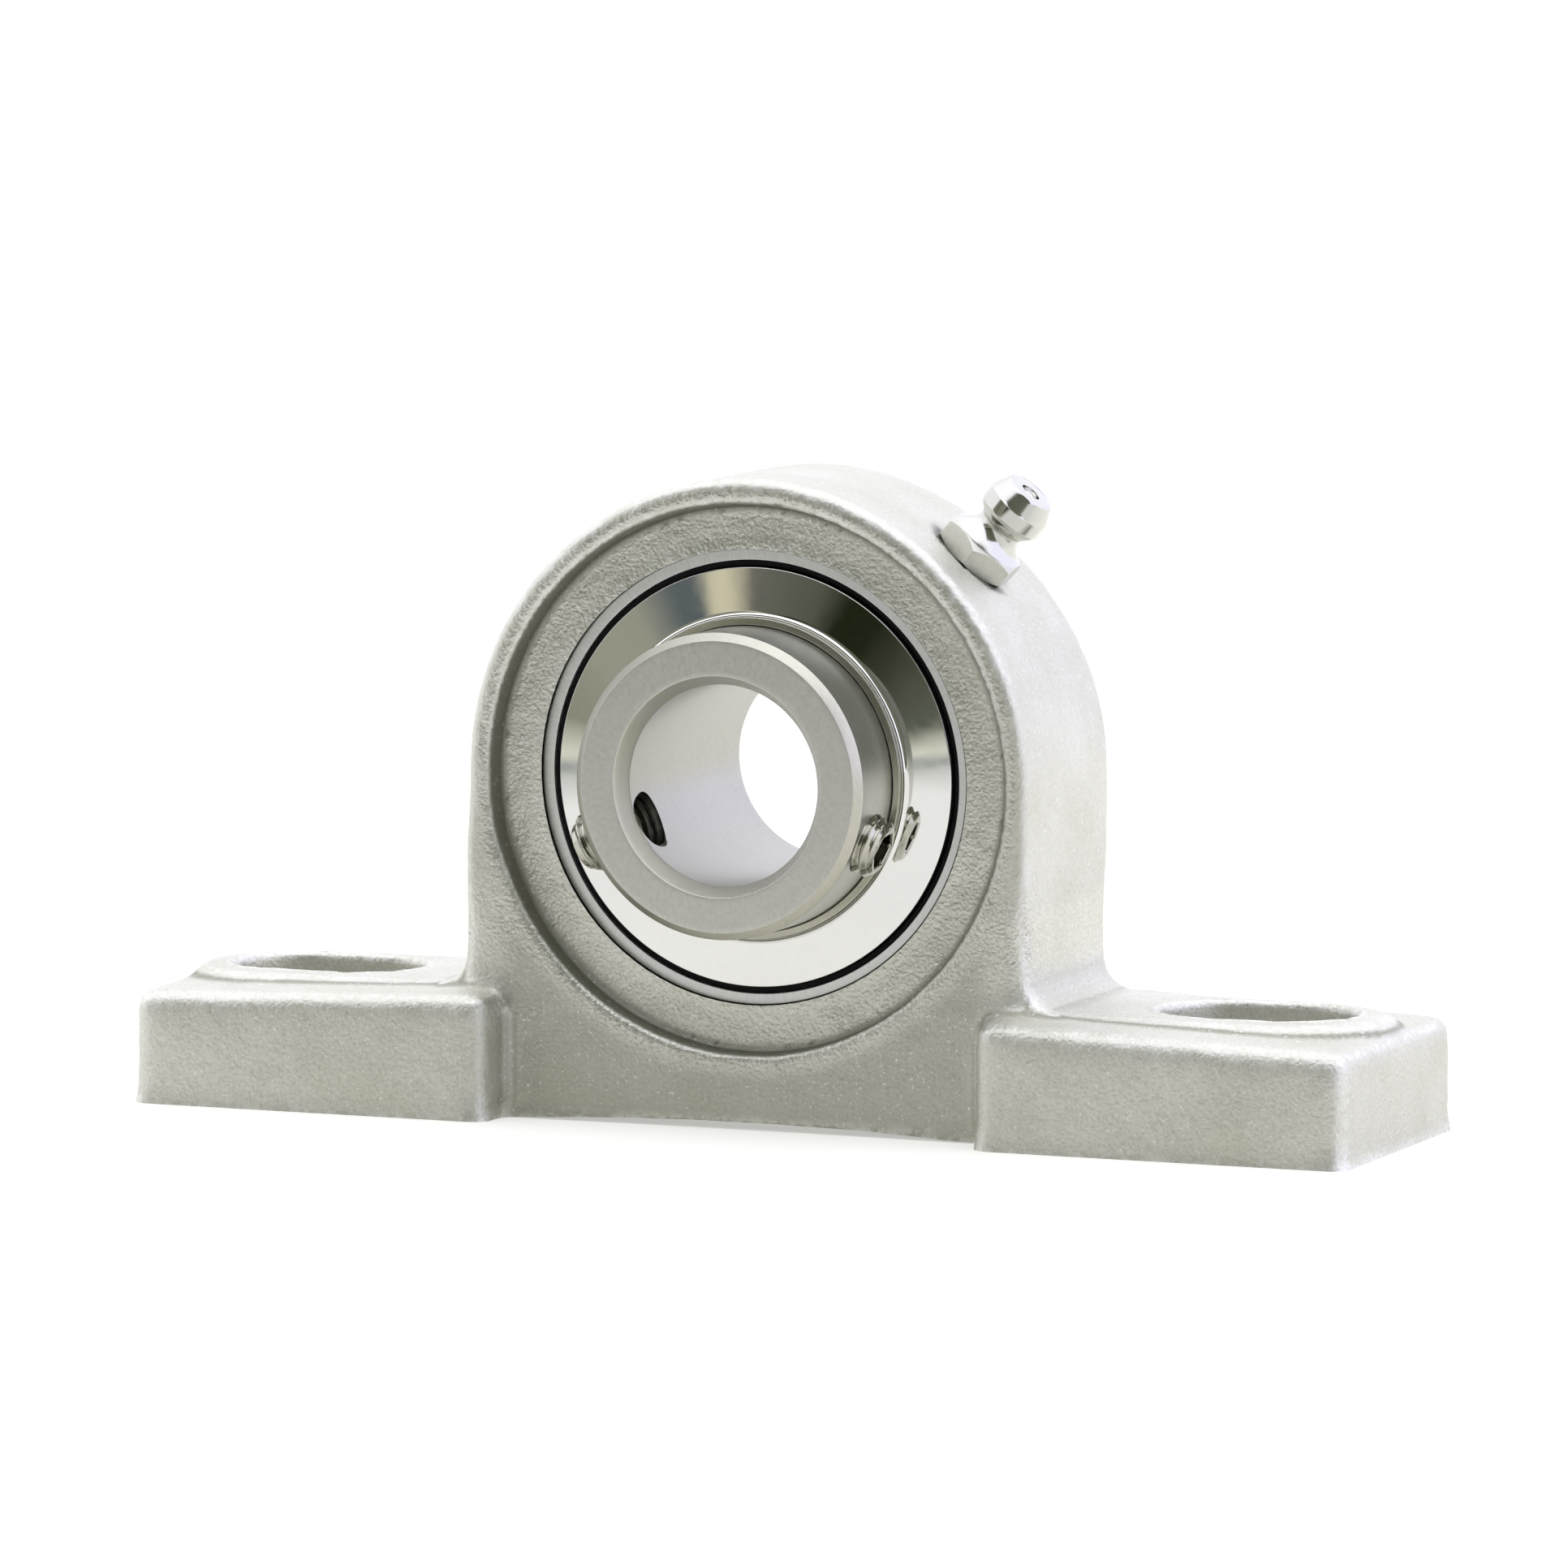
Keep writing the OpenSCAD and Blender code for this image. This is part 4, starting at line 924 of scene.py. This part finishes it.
def makeFloor():
    # White table: plain diffuse, with a little glow for the camera and for reflections so that it stays white.
    # In reflections it ends at a slanting front edge, with a lit strip and the room's floor beyond it.
    mesh = bpy.data.meshes.new("floor")
    reach = studio["tableReach"]
    mesh.from_pydata([(-reach, -reach, 0), (reach, -reach, 0), (reach, reach, 0), (-reach, reach, 0)], [],
                     [(0, 1, 2, 3)])
    floor = newObject("floor", mesh)
    material = bpy.data.materials.new("table")
    tree = emptyTree(material)
    path = addNode(tree, "ShaderNodeLightPath").outputs
    parts = partsOf(tree, objectPoint(tree))
    reflected = path["Is Glossy Ray"]
    shine = mathOf(tree, "MULTIPLY", reflected, ramp(tree, parts["Y"], -0.1, 0.1, 0.02, 0.34))
    glow = mathOf(tree, "ADD", mathOf(tree, "MULTIPLY", path["Is Camera Ray"], studio["tableGlow"]), shine)
    tint = mixColours(tree, reflected, (1, 1, 1), studio["reflectedTint"])
    light = addNode(tree, "ShaderNodeEmission", {"Color": tint, "Strength": glow})
    acrossX, acrossY = studio["edgeAcross"]
    along = mathOf(tree, "ADD", mathOf(tree, "MULTIPLY", parts["X"], acrossX),
                   mathOf(tree, "MULTIPLY", parts["Y"], acrossY))
    inward = mathOf(tree, "ADD", along, studio["edgeFrom"])  # metres inside the front edge
    shade = mathOf(tree, "MULTIPLY", reflected, ramp(tree, inward, 0.0, 0.08, 1, 0))
    weave = mixColours(tree, shade, studio["table"], studio["tableByEdge"])
    cloth = addNode(tree, "ShaderNodeBsdfDiffuse", {"Color": weave})
    table = addNode(tree, "ShaderNodeAddShader", {0: cloth.outputs[0], 1: light.outputs[0]})
    lit = colourBand(tree, inward, -0.3, 0.0, studio["tableEdge"])
    strip = addNode(tree, "ShaderNodeEmission", {"Color": lit})
    clear = addNode(tree, "ShaderNodeBsdfTransparent")
    beyond = addNode(tree, "ShaderNodeMixShader", {0: ramp(tree, inward, *studio["stripFades"]),
                                                   1: clear.outputs[0], 2: strip.outputs[0]})
    outside = mathOf(tree, "MULTIPLY", reflected, mathOf(tree, "LESS_THAN", inward, 0.0))
    whole = addNode(tree, "ShaderNodeMixShader", {0: outside, 1: table.outputs[0], 2: beyond.outputs[0]})
    out = addNode(tree, "ShaderNodeOutputMaterial")
    tree.links.new(whole.outputs[0], out.inputs["Surface"])
    mesh.materials.append(material)


makeCamera()
makeWorld()
makeFloor()
scene.view_settings.view_transform = "Standard"
print("studio ready")
